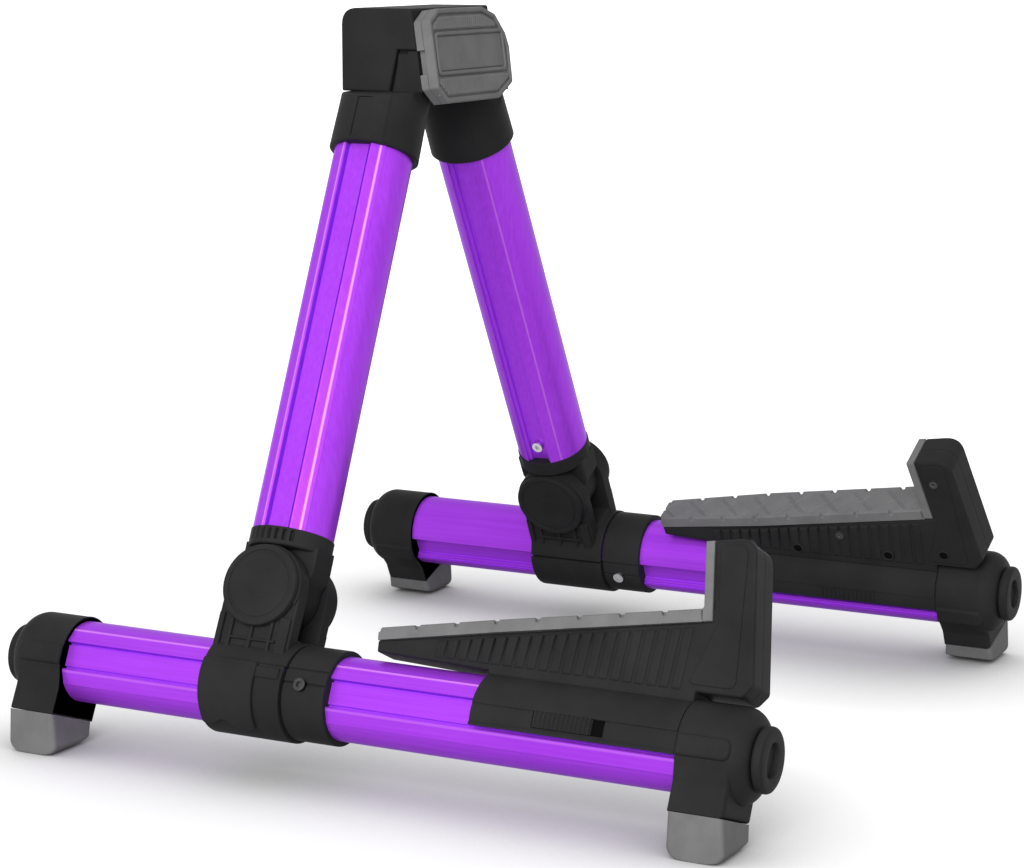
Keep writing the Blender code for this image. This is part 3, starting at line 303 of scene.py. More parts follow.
def piece(name, body, finish, place, skins, replaces=(), sharp=38.0):
    """One visible piece from closed skins in neutral millimetres, with its faces turned outward."""
    points, faces, start = [], [], 0
    for skin in skins:
        own_points, own_faces = shell_of(skin)
        own_points = place(own_points)
        if volume_of(own_points, own_faces) < 0:
            own_faces = [face[::-1] for face in own_faces]
        points.append(own_points)
        faces += [[index + start for index in face] for face in own_faces]
        start += len(own_points)
    mesh = bpy.data.meshes.new(name)
    mesh.from_pydata(np.concatenate(points).tolist(), [], faces)
    mesh.update()
    merge_doubles(mesh)
    mesh.shade_smooth()
    mesh.set_sharp_from_angle(angle=math.radians(sharp))
    mesh.materials.append(MATERIALS[finish])
    made = add_object(name, mesh)
    made.modifiers.new("flat faces stay flat", "WEIGHTED_NORMAL").keep_sharp = True
    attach(made, body)
    if replaces:
        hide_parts(*replaces)


def dress(stem, way, tail, body, finish, place, skins, sharp=38.0):
    """A piece in the place of the CAD node with the same stem and tail; way says how it is made."""
    piece(f"{stem}_{way}_{tail}", body, finish, place, skins, (f"{stem}_{tail}",), sharp)


def merge_doubles(mesh):
    """Weld the points where grids and poles meet."""
    work = bmesh.new()
    work.from_mesh(mesh)
    bmesh.ops.remove_doubles(work, verts=work.verts, dist=0.002 * MM)
    bmesh.ops.dissolve_degenerate(work, edges=work.edges, dist=0.001 * MM)
    work.to_mesh(mesh)
    work.free()


# Materials

class Wire:
    """A socket with arithmetic: each expression adds Math nodes to its tree."""

    def __init__(self, nodes, socket):
        self.nodes = nodes
        self.socket = socket

    def beside(self, output):
        """Another output of the same node."""
        return Wire(self.nodes, self.socket.node.outputs[output])

    def math(self, operation, *others, clamp=False):
        """A Math node whose first input is this value."""
        return self.nodes.add("ShaderNodeMath", {"operation": operation, "use_clamp": clamp},
                              dict(enumerate((self, *others))))

    def __add__(self, other):
        return self.math("ADD", other)

    def __sub__(self, other):
        return self.math("SUBTRACT", other)

    def __mul__(self, other):
        return self.math("MULTIPLY", other)

    def __truediv__(self, other):
        return self.math("DIVIDE", other)

    def __rsub__(self, other):
        return self.nodes.add("ShaderNodeMath", {"operation": "SUBTRACT"}, {0: other, 1: self})

    __radd__ = __add__
    __rmul__ = __mul__

    def ramp(self, low, high):
        """0 at low, 1 at high, straight between and level beyond."""
        return ((self - low) / (high - low)).math("ADD", 0.0, clamp=True)


class Nodes:
    """A node tree, with the one way in which nodes are added to it."""

    def __init__(self, tree):
        self.tree = tree

    def feed(self, socket, value):
        """Link or set one input."""
        if isinstance(value, Wire):
            self.tree.links.new(value.socket, socket)
        else:
            socket.default_value = value

    def add(self, kind, settings, inputs, output=0):
        """A node of a kind, with its settings first and then its inputs; returns one output."""
        node = self.tree.nodes.new(kind)
        for key, value in settings.items():
            setattr(node, key, value)
        for key, value in inputs.items():
            self.feed(node.inputs[key], value)
        return Wire(self, node.outputs[output])


class Shader(Nodes):
    """A material built around its Principled shader."""

    def __init__(self, name):
        self.material = bpy.data.materials.new(name)
        self.material.use_nodes = True
        super().__init__(self.material.node_tree)
        self.surface = self.tree.nodes["Principled BSDF"]
        self.place = self.add("ShaderNodeTexCoord", {}, {}, "Object")

    def set(self, **inputs):
        """Feed the Principled shader; underscores stand for spaces."""
        for key, value in inputs.items():
            self.feed(self.surface.inputs[key.replace("_", " ")], value)

    def noise(self, scale, detail=3.0, stretch=(1.0, 1.0, 1.0), turn=(0.0, 0.0, 0.0)):
        """Noise in 0..1 over the object's coordinates, stretched along its axes."""
        where = self.add("ShaderNodeMapping", {},
                         {"Vector": self.place, "Scale": stretch, "Rotation": turn})
        return self.add("ShaderNodeTexNoise", {},
                        {"Vector": where, "Scale": scale, "Detail": detail}, "Fac")

    def mix(self, share, first, second):
        """A colour between two colours."""
        return self.add("ShaderNodeMix", {"data_type": "RGBA"}, {0: share, 6: first, 7: second}, 2)

    def bump(self, height, strength, distance):
        """A bump map of a height for the Normal input."""
        return self.add("ShaderNodeBump", {},
                        {"Height": height, "Strength": strength, "Distance": distance * MM}, "Normal")


def painted_lip_highlights(shader, axis, rake, highlights_at):
    """Mask of painted highlight lines along a leaning tube, the same on both sides of the stand: full where the
    distance across the tube from its axis is one of the given ones, on the outer side only."""
    fade, core = 0.55 * MM, 0.15 * MM
    x = shader.add("ShaderNodeSeparateXYZ", {}, {0: shader.place}, "X")
    out = x.math("ABSOLUTE") - axis[0] * MM
    up = x.beside("Z") - axis[2] * MM
    across = up * math.cos(LEAN) - out * math.sin(LEAN)
    if rake is not None:
        across = (axis[1] * MM - x.beside("Y")) * math.cos(rake) + across * math.sin(rake)
    highlight_mask = None
    for line, strength in highlights_at:
        near = (across - line * MM).math("ABSOLUTE").ramp(fade, core) * strength
        highlight_mask = near if highlight_mask is None else highlight_mask.math("MAXIMUM", near)
    return highlight_mask * (out * math.cos(LEAN) + up * math.sin(LEAN)).ramp(-6 * MM, -5 * MM)


def anodised(name, turn, stretch, lip_highlights):
    """Satin violet anodising: fine drawn lines along the tube, over a faint cloudiness, with pale pink highlight
    lines painted into the colour where the lip edges and the creases of the section would catch the light."""
    shader = Shader(name)
    lines = shader.noise(900.0, 2.0, stretch, (0.0, turn, 0.0))
    cloud = shader.noise(22.0, 3.0)
    share = (lines * 0.6 + cloud * 0.4).ramp(0.25, 0.75)
    colour = shader.mix(share, (0.38, 0.045, 0.80, 1.0), (0.48, 0.075, 0.96, 1.0))
    # pale pink painted highlight lines along the lip edges and the creases
    colour = shader.mix(painted_lip_highlights(shader, *lip_highlights), colour, (0.90, 0.34, 1.0, 1.0))
    shader.set(Base_Color=colour, Metallic=0.30, Roughness=0.30 + 0.10 * lines,
               Normal=shader.bump(lines, 0.05, 0.05), Specular_IOR_Level=0.2,
               Specular_Tint=(0.55, 0.12, 0.85, 1.0))
    return shader.material


def grey(value, blue=None):
    """A grey, or one with a slightly different share of blue."""
    return (value, value, value if blue is None else blue, 1.0)


def nylon(name, dark, light, roughness):
    """Matt black moulded nylon: a fine spark-eroded grain and a little cloudiness."""
    shader = Shader(name)
    grain = shader.noise(2600.0, 2.0)
    cloud = shader.noise(45.0, 4.0)
    colour = shader.mix(cloud.ramp(0.3, 0.7), dark, light)
    shader.set(Base_Color=colour, Roughness=roughness + 0.12 * (grain - 0.5),
               Normal=shader.bump(grain, 0.22, 0.05), Specular_IOR_Level=0.03)
    return shader.material


def rubber(name):
    """Mid-grey moulded rubber: fine grain, soft mottling."""
    shader = Shader(name)
    grain = shader.noise(1900.0, 3.0)
    mottle = shader.noise(120.0, 4.0)
    colour = shader.mix(mottle.ramp(0.3, 0.7), grey(0.165, 0.166), grey(0.205, 0.206))
    shader.set(Base_Color=colour, Roughness=0.78 + 0.1 * (grain - 0.5),
               Normal=shader.bump(grain, 0.3, 0.06))
    return shader.material


def steel(name, dark, light):
    """Plated steel with faint turning marks."""
    shader = Shader(name)
    marks = shader.noise(700.0, 2.0)
    colour = shader.mix(marks, dark, light)
    shader.set(Base_Color=colour, Metallic=1.0, Roughness=0.22 + 0.15 * marks)
    return shader.material


# Drawn lines' scale along a tube, and each tube's axis, rake and painted highlight lines at its lip edges as
# (distance, strength)
DRAWN = 0.02
FOOT_LIP_HIGHLIGHTS = (JOINTS["right_arm_swing"], None, ((9.3, 0.6), (-6.6, 0.25)))
UPRIGHT_LIP_HIGHLIGHTS = (JOINTS["right_spread"], RAKE, ((9.3, 1.0), (-5.4, 0.8)))

MATERIALS = {
    "tube_along": anodised("violet anodising, foot tube", 0.0, (1.0, DRAWN, 1.0), FOOT_LIP_HIGHLIGHTS),
    "tube_left": anodised("violet anodising, left upright", -LEAN, (1.0, 1.0, DRAWN), UPRIGHT_LIP_HIGHLIGHTS),
    "tube_right": anodised("violet anodising, right upright", LEAN, (1.0, 1.0, DRAWN), UPRIGHT_LIP_HIGHLIGHTS),
    "nylon": nylon("black nylon", grey(0.0240, 0.0244), grey(0.034, 0.0345), 0.50),
    # near-black nylon as painted shade: a sheet under the sleeve's slot and discs in the empty screw holes
    "nylon_painted_shade": nylon("near-black painted shade in sinks", grey(0.003), grey(0.005), 0.7),
    "rubber": rubber("grey rubber"),
    "steel": steel("plated steel", grey(0.50, 0.52), grey(0.72, 0.74)),
    # the plated steel drawn much darker, for the outer collar screws and the arm's screws
    "steel_dark": steel("plated steel, drawn darker", grey(0.05, 0.052), grey(0.09, 0.092)),
}


def finish_cad_nodes():
    """Give every CAD node that stays visible its finish."""
    slot_of = {row["node"]: row["material_slot"] for row in frame["record"]["subparts"]}
    plain = {"anodised_violet": "tube_along", "black_nylon": "nylon", "grey_rubber": "rubber",
             "bright_steel": "steel"}
    for name, node in frame["nodes"].items():
        finish = "steel_dark" if name.startswith("collar_screw_outer") else plain[slot_of[name]]
        node.data.materials.clear()
        node.data.materials.append(MATERIALS[finish])


# Tubes

def tube_outline(direction=1):
    """The extrusion's section: round, with a flat beside each lip of the outer channel, whose floor
    is sunk along both walls, and a stepped channel inside."""
    count, gap = 40, 1.6
    crease_top, crease_low, crease_radius = 40.0, -46.0, TUBE_RADIUS + 0.12
    sunk, ditch = 1.1, 0.8
    half_angle = math.degrees(math.asin(INNER_HALF / TUBE_RADIUS))
    top = arc((0, 0), TUBE_RADIUS, crease_top + gap, 180 - half_angle - gap, count)
    bottom = arc((0, 0), TUBE_RADIUS, 180 + half_angle + gap, 360 + crease_low - gap, count)
    low_crease = arc((0, 0), crease_radius, crease_low, crease_low, 1)
    top_crease = arc((0, 0), crease_radius, crease_top, crease_top, 1)

    step, narrow = INNER_STEP
    upper = [(-math.sqrt(TUBE_RADIUS ** 2 - INNER_HALF ** 2), INNER_HALF), (-step, INNER_HALF),
             (-step, narrow), (-INNER_FLOOR, narrow)]
    inner = np.array(upper + [(x, -y) for x, y in upper[::-1]])

    (top_floor, top_foot), (low_floor, low_foot) = OUTER_FLOOR
    top_edge, low_edge = (math.sqrt(TUBE_RADIUS ** 2 - lip ** 2) for lip in OUTER_LIPS)
    outer = np.array([(low_edge, OUTER_LIPS[1]), (low_floor - sunk, low_foot),
                      (low_floor - sunk, low_foot + ditch), (low_floor, low_foot + ditch),
                      (top_floor, top_foot - ditch), (top_floor - sunk, top_foot - ditch),
                      (top_floor - sunk, top_foot), (top_edge, OUTER_LIPS[0])])
    corners = np.concatenate([top, inner, bottom, low_crease, outer, top_crease])
    radii = np.concatenate([np.full(count, 0.05), np.full(8, LIP_ROUND), np.full(count, 0.05),
                            [0.3, LIP_ROUND], np.full(6, 0.12), [LIP_ROUND, 0.3]])
    return Profile(corners * [1, direction], radii, 4)


def make_tubes(name, base, upright):
    """The foot tube and the upright tube of one side."""
    dress("foot_tube", "drawn", name, f"{name}_base", "tube_along", base,
          [moulding("s", tube_outline(), -TUBE_GRIP, FRONT_MOUTH + TUBE_GRIP, 0.2, 0.2)], 12)
    dress("upright_tube", "drawn", name, f"{name}_upright", f"tube_{name}", upright,
          [moulding("v", tube_outline(-1), FITTING_TOP - 0.05, 183.0, 0.2, 0.2)], 12)


# Caps and feet

def seam_height(u):
    """Height of the slanted seam between neck and rubber foot."""
    return -SEAM_DROP - np.asarray(u) * math.tan(SEAM_TILT)


def cap_skins(mouth, forward):
    """Skins of an end cap: a barrel that runs straight down into the neck, a domed end, a raised
    panel on each side and a slight lip round the mouth."""
    side_angle, waist, count = 28.0, -13.0, 60
    panel_low, panel_high, panel_length = -4.9, 2.5, 19.4
    panel_root, panel_face = 11.0, 17.55
    start = 0.02
    circle = arc((0, 0), CAP_RADIUS, -side_angle, 180 + side_angle, count)
    outline = np.concatenate([circle, [(-NECK_HALF, waist), (-NECK_HALF, seam_height(-NECK_HALF)),
                                       (NECK_HALF, seam_height(NECK_HALF)), (NECK_HALF, waist)]])
    radii = np.concatenate([np.full(count, 0.05), [4.0, 0.3, 0.3, 4.0]])
    body = moulding("s", Profile(outline, radii, 5), start, NECK_LENGTH, 0.4, 1.8, 6)
    t = np.radians(np.linspace(0, 90, 14))
    shoulder = np.stack([CAP_FACE_RADIUS + (CAP_RADIUS - CAP_FACE_RADIUS) * np.cos(t),
                         CAP_BARREL + (CAP_LENGTH - CAP_BARREL) * np.sin(t)], 1)
    dome = turned("s", np.concatenate([[(0, 2.0), (CAP_RADIUS, 2.0)], shoulder, [(0, CAP_LENGTH)]]))
    panel = box((start, panel_low), (panel_length, panel_high), (0.2, 3.2, 3.2, 0.2), 10)
    panels = [sideways(panel, side * panel_root, side * panel_face, 0.2, 1.3, 6) for side in (1, -1)]
    lip = moulding("s", Profile(outline * 1.006, radii, 5), start, 0.6, 0.2, 0.2)
    skins = [body, dome, *panels, lip]
    for skin in skins:
        skin[..., 1] = mouth + forward * skin[..., 1]
    return skins


def plug_skins(mouth, forward):
    """Skins of the plug: a rounded disc with an oval hollow in its face."""
    seat, face, radius = CAP_LENGTH - 0.6, CAP_LENGTH + 4.2, 11.2
    oval_end, oval_radius, oval_points = 1.6, 4.7, 24
    oval = np.concatenate([arc((0, oval_end), oval_radius, 0, 180, oval_points),
                           arc((0, -oval_end), oval_radius, 180, 360, oval_points)])
    rim = arc((0, 0), 1.0, 0, 360 * (1 - 1 / len(oval)), len(oval))
    outside = ((9.0, seat), (9.2, seat + 0.9), (10.6, seat + 1.2), (11.0, seat + 1.6),
               (radius, seat + 2.2), (radius, face - 1.2), (radius - 0.3, face - 0.5), (radius - 1.0, face))
    hollow = ((1.25, face), (1.0, face - 0.15), (0.94, face - 0.7), (0.92, face - 1.7))
    grid = stacked("s", [rim * size for size, _ in outside] + [oval * size for size, _ in hollow],
                   [height for _, height in outside + hollow])
    grid[..., 1] = mouth + forward * grid[..., 1]
    return [grid]


def foot_skins(mouth, forward):
    """The rubber foot: each row is a rounded oblong between an inner and an outer point of the
    profile, and the rows draw in near the floor along a quarter circle."""
    def floor(u):
        return (-BASE_HEIGHT - u * math.sin(LEAN)) / math.cos(LEAN)

    seam_gap, proud, toe_rise, toe_share = 0.15, 0.1, 2.4, 0.22
    low_round, corner_round, widest_flare = 4.2, 2.2, 0.9
    top_outer = float(seam_height(NECK_HALF)) - seam_gap
    drop = BASE_HEIGHT + NECK_HALF * math.sin(LEAN) + top_outer * math.cos(LEAN)
    outer_low = np.array([NECK_HALF - drop * math.sin(LEAN), top_outer - drop * math.cos(LEAN)])
    outer_top = np.array([NECK_HALF + proud, top_outer])
    inner_low = np.array([-9.4, floor(-9.4)])
    toe = np.array([-NECK_HALF - 0.4, floor(-NECK_HALF - 0.4) + toe_rise])
    inner_top = np.array([-NECK_HALF - proud, float(seam_height(-NECK_HALF)) - seam_gap])
    rows = []
    for t in np.concatenate([np.linspace(0, toe_share, 12), np.linspace(0.3, 1, 8)]):
        inner = inner_low + (toe - inner_low) * min(t / toe_share, 1.0)
        if t > toe_share:
            inner = toe + (inner_top - toe) * (t - toe_share) / (1 - toe_share)
        outer = outer_low + (outer_top - outer_low) * t
        rise = min(t * drop / low_round, 1.0)
        inset = low_round * (1 - math.sqrt(1 - (1 - rise) ** 2))
        near = inset - widest_flare * (1 - t)
        far = NECK_LENGTH - near
        length = np.linalg.norm(outer - inner)
        oblong = box((0, near), (length, far), corner_round, 7).inset(0.0)
        way = (outer - inner) / length
        rows.append(np.column_stack([inner[0] + way[0] * oblong[:, 0],
                                     mouth + forward * oblong[:, 1],
                                     inner[1] + way[1] * oblong[:, 0]]))
    return [np.stack(rows)]


def make_ends(name, base):
    """Both caps, plugs and feet of one foot tube."""
    body = f"{name}_base"
    for end, mouth, forward in (("rear", 0.0, -1), ("front", FRONT_MOUTH, 1)):
        dress(f"{end}_cap", "moulded", name, body, "nylon", base, cap_skins(mouth, forward))
        dress(f"{end}_plug", "moulded", name, body, "nylon", base, plug_skins(mouth, forward))
        dress(f"{end}_foot", "moulded", name, body, "rubber", base, foot_skins(mouth, forward))


# Collar, clamp, latch and hinge

def grooved_ring(radius, start, end, grooves, round_by=0.5, depth=0.7, width=1.2):
    """A ring drawn along s: its radius falls by round_by along a quarter circle at both ends, and by
    depth * exp(-((angle - groove) / width) ** 4) at each groove."""
    t = np.linspace(0, math.pi / 2, 5)
    stations = np.concatenate([start + round_by * (1 - np.cos(t)), end - round_by * (1 - np.cos(t[::-1]))])
    fall = round_by * np.concatenate([1 - np.sin(t), 1 - np.sin(t[::-1])])
    degrees = np.linspace(0, 360, 721)[:-1]
    dip = sum(np.exp(-(((degrees - g + 180) % 360 - 180) / width) ** 4) for g in grooves)
    r = radius - fall[:, None] - depth * np.clip(dip, 0, 1)[None]
    along = np.broadcast_to(stations[:, None], r.shape)
    return np.stack([r * np.cos(np.radians(degrees)), along, r * np.sin(np.radians(degrees))], -1)


def collar_skins():
    """Skins of the upper collar: ring, upper half, two ears, the saddle between them, and on each
    ear a frame of bars below the disc and a rim round it."""
    ear = np.concatenate([arc(HINGE_AT, EAR_RADIUS, 0, 180, 48), [(60.4, 4.0), (91.6, 4.0)]])
    rim = np.concatenate([arc(HINGE_AT, EAR_RADIUS, -20, 200, 60),
                          arc(HINGE_AT, EAR_RADIUS - 1.4, 200, -20, 60)])
    bars = [((61.2, 6.2), (90.8, 8.2)), ((66.0, 14.0), (86.0, 14.9)), ((61.2, 7.5), (63.4, 23.0)),
            ((86.6, 7.5), (90.8, 23.5)), ((66.2, 7.5), (67.6, 21.5)), ((74.8, 7.5), (76.2, 19.5)),
            ((82.8, 7.5), (84.2, 21.5))]
    skins = [grooved_ring(17.0, COLLAR_JOINT + FIT, COLLAR_END, (20.0, 2.0, 160.0, 178.0), 0.7),
             moulding("s", sector(COLLAR_BORE, 17.4, 19.9, 160.1, 60), COLLAR_START,
                      COLLAR_JOINT - 0.2, 0.6, 0.4),
             moulding("u", box((60.6, 4.0), (91.4, 17.4), 1.2, 5), -12.2, 12.2, 0.6, 0.6)]
    for side in (1, -1):
        skins.append(sideways(ear, side * EAR_INNER, side * EAR_OUTER, 0.4, 0.9))
        skins += [sideways(box(*bar, 0.4), side * 11.8, side * 13.9, 0.1, 0.45) for bar in bars]
        skins.append(sideways(rim, side * 12.0, side * 13.6, 0.3, 0.3))
    return skins


def latch_skins():
    """The latch: for each station the section is a part of a ring, whose lower end rises and falls
    with the station to make the finger scallops; a knuckle runs along its top."""
    first, last, soft = 62.2, 84.6, 1.8
    inner, outer, top = 18.3, 20.1, 15.5
    knuckle_at, knuckle_radius = (18.78, 4.68), 1.0
    stations = np.concatenate([first + soft * (1 - np.cos(np.linspace(0, math.pi / 2, 9)))[:-1],
                               np.linspace(first + soft, last, 45)])
    outlines = []
    for s in stations:
        edge = min((s - first) / soft, 1.0)
        rounding = 1.3 * (1 - math.sqrt(1 - (1 - edge) ** 2)) + 0.4 * max(0.0, 1 - (last - s) / 0.4)
        scallop = 8.0 * math.exp(-((s - 72.0) / 3.4) ** 2) - 4.0 * math.exp(-((s - 79.5) / 3.0) ** 2)
        outlines.append(sector(inner, outer - rounding, -58.0 + scallop + rounding, top, 26))
    arm = box((84.0, 0.5), (93.8, 4.6), 0.5)
    knuckle = [(0, 65.7), (0.8, 65.7), (knuckle_radius, 66.0), (knuckle_radius, 83.5), (0.8, 83.8), (0, 83.8)]
    return [stacked("s", outlines, stations), turned("s", knuckle, knuckle_at, 24),
            moulding("u", arm, 16.4, 18.9, 0.2, 0.5)]


def disc_skins(direction):
    """A cover disc: rounded edge, raised rim, and a bare face with two faint rings."""
    seat, face, rim = 13.3, 16.05, 16.3
    profile = [(0, seat), (14.6, seat), (15.0, 13.7), (15.0, 15.5), (14.8, 16.0), (14.3, rim), (13.1, rim),
               (12.8, 16.1), (12.7, 15.75), (12.3, 15.7), (11.9, 15.75), (11.7, 16.0), (11.2, face),
               (5.2, face), (5.0, 15.9), (4.7, 15.9), (4.5, face), (0, face)]
    return [turned("u", [(r, direction * h) for r, h in profile], HINGE_AT, 96)]


def make_hinge(name, base):
    """Collar, clamp, latch and discs of one side."""
    body = f"{name}_base"
    clamp = moulding("s", sector(COLLAR_BORE, 18.2, -198, 18), COLLAR_START, COLLAR_JOINT - 0.1, 0.9, 0.3)
    dress("collar", "moulded", name, body, "nylon", base, collar_skins())
    dress("collar_clamp", "moulded", name, body, "nylon", base, [clamp])
    dress("latch", "moulded", name, f"{name}_latch", "nylon", base, latch_skins())
    dress("hinge_disc", "turned", f"outer_{name}", body, "nylon", base, disc_skins(1))
    dress("hinge_disc", "turned", f"inner_{name}", body, "nylon", base, disc_skins(-1))


# Upright's fittings

def barrel_rows(heights_mm, radius, dips, count=360):
    """Loops of a barrel along v, whose radius is radius(v) less the sum of the dips at (angle, v)."""
    degrees = np.linspace(0, 360, count, endpoint=False)
    v, angle = np.meshgrid(heights_mm, degrees, indexing="ij")
    r = radius(v) - dips(angle, v)
    return np.stack([r * np.cos(np.radians(angle)), r * np.sin(np.radians(angle)), v], -1)


def window(x, low, high, soft):
    """1 between low and high and 0 outside, with straight edges of the width soft."""
    return np.clip((x - low) / soft, 0, 1) * np.clip((high - x) / soft, 0, 1)


def fitting_skins():
    """Skins of the lower fitting: slotted barrel, and the body that goes down between the ears."""
    slot_low, slot_high, slot_half = 17.2, 21.4, 2.6
    tongue, shoulder = 13.0, 15.3

    def slots(angle, v):
        turn = (angle + 180) % 360 - 180
        cells = sum(window(turn, at - slot_half, at + slot_half, 1.2) for at in range(-36, 31, 11))
        return 1.5 * cells * window(v, slot_low, slot_high, 0.4)

    def radius(v):
        return 15.4 - 0.5 * np.clip((16.1 - v) / 0.5, 0, 1) - 0.25 * np.clip((v - 21.9) / 0.2, 0, 1)

    rows = np.concatenate([[15.6, 16.1, 16.8, 17.1], np.linspace(slot_low, slot_high, 17),
                           [21.6, 21.9, FITTING_TOP]])
    outline = np.concatenate([arc((0, 0), tongue, 180, 360, 48),
                              [(tongue, 3.0), (shoulder, 8.0), (shoulder, 17.5), (-shoulder, 17.5),
                               (-shoulder, 8.0), (-tongue, 3.0)]])
    radii = np.concatenate([np.full(48, 0.05), [1.5, 2.5, 0.1, 0.1, 2.5, 1.5]])
    return [barrel_rows(rows, radius, slots), moulding("u", Profile(outline, radii, 4), -6.5, 6.5, 1.0, 1.0)]


def socket_skins():
    """Skins of the upper socket: a barrel that goes up to a slanted plane and a level one under the
    head, with a sunk line round a panel and a soft ridge outside, and the tongue to the pivot."""
    mouth, panel_top, joint = 171.0, 188.0, 188.35
    upper_radius, flat, skin = 16.75, 1.4, 0.5

    def relief(angle, v):
        turn = (angle + 180) % 360 - 180
        line = window(turn, -7.0, -4.0, 0.8) * window(v, 172.2, panel_top + 1, 0.4)
        line = np.maximum(line, window(turn, -7.0, 15.0, 0.8) * window(v, panel_top, panel_top + 1, 0.3))
        ridge = np.exp(-((turn - 36.0) / 2.4) ** 2) + 0.6 * np.exp(-((turn - 142.0) / 2.4) ** 2)
        return 0.8 * line - 0.35 * ridge * window(v, mouth + 0.5, 200.0, 1.0)

    def radius(v):
        return 17.1 - 0.02 * (v - mouth) - 0.5 * np.clip((mouth + 0.5 - v) / 0.5, 0, 1)

    def crown(u):
        return np.minimum(201.4, 197.7 - 0.4986 * u)

    lower = np.concatenate([[mouth, mouth + 0.2, mouth + 0.5, mouth + 1], np.linspace(172.2, panel_top, 12),
                            [188.1, 188.3]])
    barrel = barrel_rows(lower, radius, relief)
    degrees = np.linspace(0, 360, barrel.shape[1], endpoint=False)
    rows = []
    for share in (0.0, 0.04, 0.1, 0.2, 0.35, 0.55, 0.8, 1.0):
        reach = upper_radius - relief(degrees, 188.6 + share * 4)
        u, s = reach * np.cos(np.radians(degrees)), reach * np.sin(np.radians(degrees))
        s = np.minimum(s, upper_radius - flat * min(share / 0.8, 1.0))
        rows.append(np.column_stack([u, s, joint + share * (crown(u) - skin - joint)]))
    edge = rows[-1]
    for draw in (0.985, 0.965, 0.8, 0.5, 0.2, 0.0):
        u, s = edge[:, 0] * draw, edge[:, 1] * draw
        rows.append(np.column_stack([u, s, crown(u) - (0.15 if draw > 0.98 else 0.0)]))
    barrel = np.concatenate([barrel, np.stack(rows)])
    tip = arc((-PIVOT_INSET, PIVOT_TO_PIN), 6.5, 0, 180, 32)
    tongue = np.concatenate([tip, [(-12.5, 187.0), (0.5, 187.0)]])
    return [barrel, moulding("s", tongue, -7.0, 7.0, 0.5, 0.5)]


def make_upright(name, upright):
    """Fitting and socket of one upright."""
    for stem, skins in (("lower_fitting", fitting_skins()), ("upper_socket", socket_skins())):
        dress(stem, "moulded", name, f"{name}_upright", "nylon", upright, skins)


# Support arm

def seat_point(along, above):
    """(s, v) of a point given along the seat, forward from its corner, and square to it."""
    c, s = math.cos(SEAT_TILT), math.sin(SEAT_TILT)
    along, above = np.asarray(along, float), np.asarray(above, float)
    return np.stack([SEAT_CORNER[0] + along * c - above * s, SEAT_CORNER[1] + along * s + above * c], -1)


def drawn_in(skins):
    """Sides of the arm narrow evenly from the sleeve to the tip."""
    tip = SEAT_CORNER[0] - SEAT_LENGTH * math.cos(SEAT_TILT)
    for skin in skins:
        for grid in (skin if isinstance(skin, list) else [skin]):
            share = np.clip((grid[..., 1] - tip) / (SLEEVE_START - tip), 0, 1)
            grid[..., 0] *= (TIP_HALF + (ARM_HALF - TIP_HALF) * share) / ARM_HALF
    return skins


def shell_outline():
    """Side view of the arm's shells in (s, v)."""
    under, front = RUBBER + FIT, LIP_RUBBER + FIT
    step = CAP_RADIUS + CAP_GAP
    tip = seat_point(-SEAT_LENGTH, -under)
    foot = seat_point(LIP_DEPTH, 0)
    heel = foot[0] + (foot[1] - step) * math.tan(SEAT_TILT)
    belly, sunk = 15.7, 14.0
    corners = [tip, (tip[0] + 0.5, 17.2), (SLEEVE_START - FIT, belly), (SLEEVE_START - FIT, sunk),
               (FRONT_MOUTH, sunk), (FRONT_MOUTH, step), (heel - 4.0, step), (heel - 0.6, step + 4.5),
               seat_point(LIP_DEPTH, LIP_HEIGHT), seat_point(front, LIP_HEIGHT), seat_point(front, -under)]
    return Profile(corners, [0.4, 0.6, 0.3, 0.3, 0.3, 0.5, 2.5, 2.5, 6.5, 0.6, 0.4], 8)


def lip_panel():
    """Outline of the raised panel on the side of the lip block."""
    inset, top = LIP_RUBBER + 2.2, LIP_HEIGHT - 2.0
    corners = [seat_point(inset, top), seat_point(inset, -RUBBER - 1.0), (243.0, 20.0), (260.0, 20.0),
               seat_point(LIP_DEPTH - 2.6, top)]
    return Profile(corners, [1.2, 1.6, 1.6, 3.0, 5.0], 8)


def rib_skins(face):
    """Rounded ribs across the side of the arm, between the crease over the sleeve and the rubber."""
    count, first, pitch, width = 21, 147.0, 4.5, 3.9
    low, shortest, lean = 17.6, 1.0, math.tan(math.radians(2.0))
    root, rise = math.copysign(0.8, face), math.copysign(0.6, face)

    def top_at(s):
        along = (s - SEAT_CORNER[0]) / math.cos(SEAT_TILT)
        return float(seat_point(along, -RUBBER - 1.8)[1])

    skins = []
    for i in range(count):
        start = first + i * pitch
        end = start + width
        if top_at(start) - low < shortest:
            continue
        corners = [(start, low), (end, low), (end + (top_at(end) - low) * lean, top_at(end)),
                   (start + (top_at(start) - low) * lean, top_at(start))]
        skins.append(sideways(Profile(corners, 0.4, 4), face - root, face + rise, 0.1, 1.1, 6))
    return skins


def arm_skins(direction):
    """Skins of one half of the arm: shell, ribs, and the panel on the lip."""
    face = direction * ARM_HALF
    shell = sideways(shell_outline(), direction * 0.1, face, 0.1, 1.1, 6)
    panel = sideways(lip_panel(), face - direction * 1.0, face + direction * 0.5, 0.1, 0.45)
    return drawn_in([shell, *rib_skins(face), panel])


def seat_relief(along, u):
    """Depth of the seat's pattern: notches at each pitch of both edges, and two families of slanted
    grooves between them that cross in diamonds."""
    phase = along / NOTCH_PITCH
    slope = u / ARM_HALF * 0.5

    def near(wave, half):
        gap = np.abs(wave - np.round(wave)) * NOTCH_PITCH
        return np.clip((half - gap) / 0.4, 0, 1)
    edge = np.clip((np.abs(u) - (ARM_HALF - 2.2)) / 0.6, 0, 1)
    lines = 0.55 * np.maximum(near(phase - slope, 0.9), near(phase + slope, 0.9))
    rounding = 0.5 * np.clip((np.abs(u) - (ARM_HALF - 0.5)) / 0.5, 0, 1) ** 2
    return np.maximum(1.5 * near(phase, 1.1) * edge, lines * (1 - edge)) + rounding


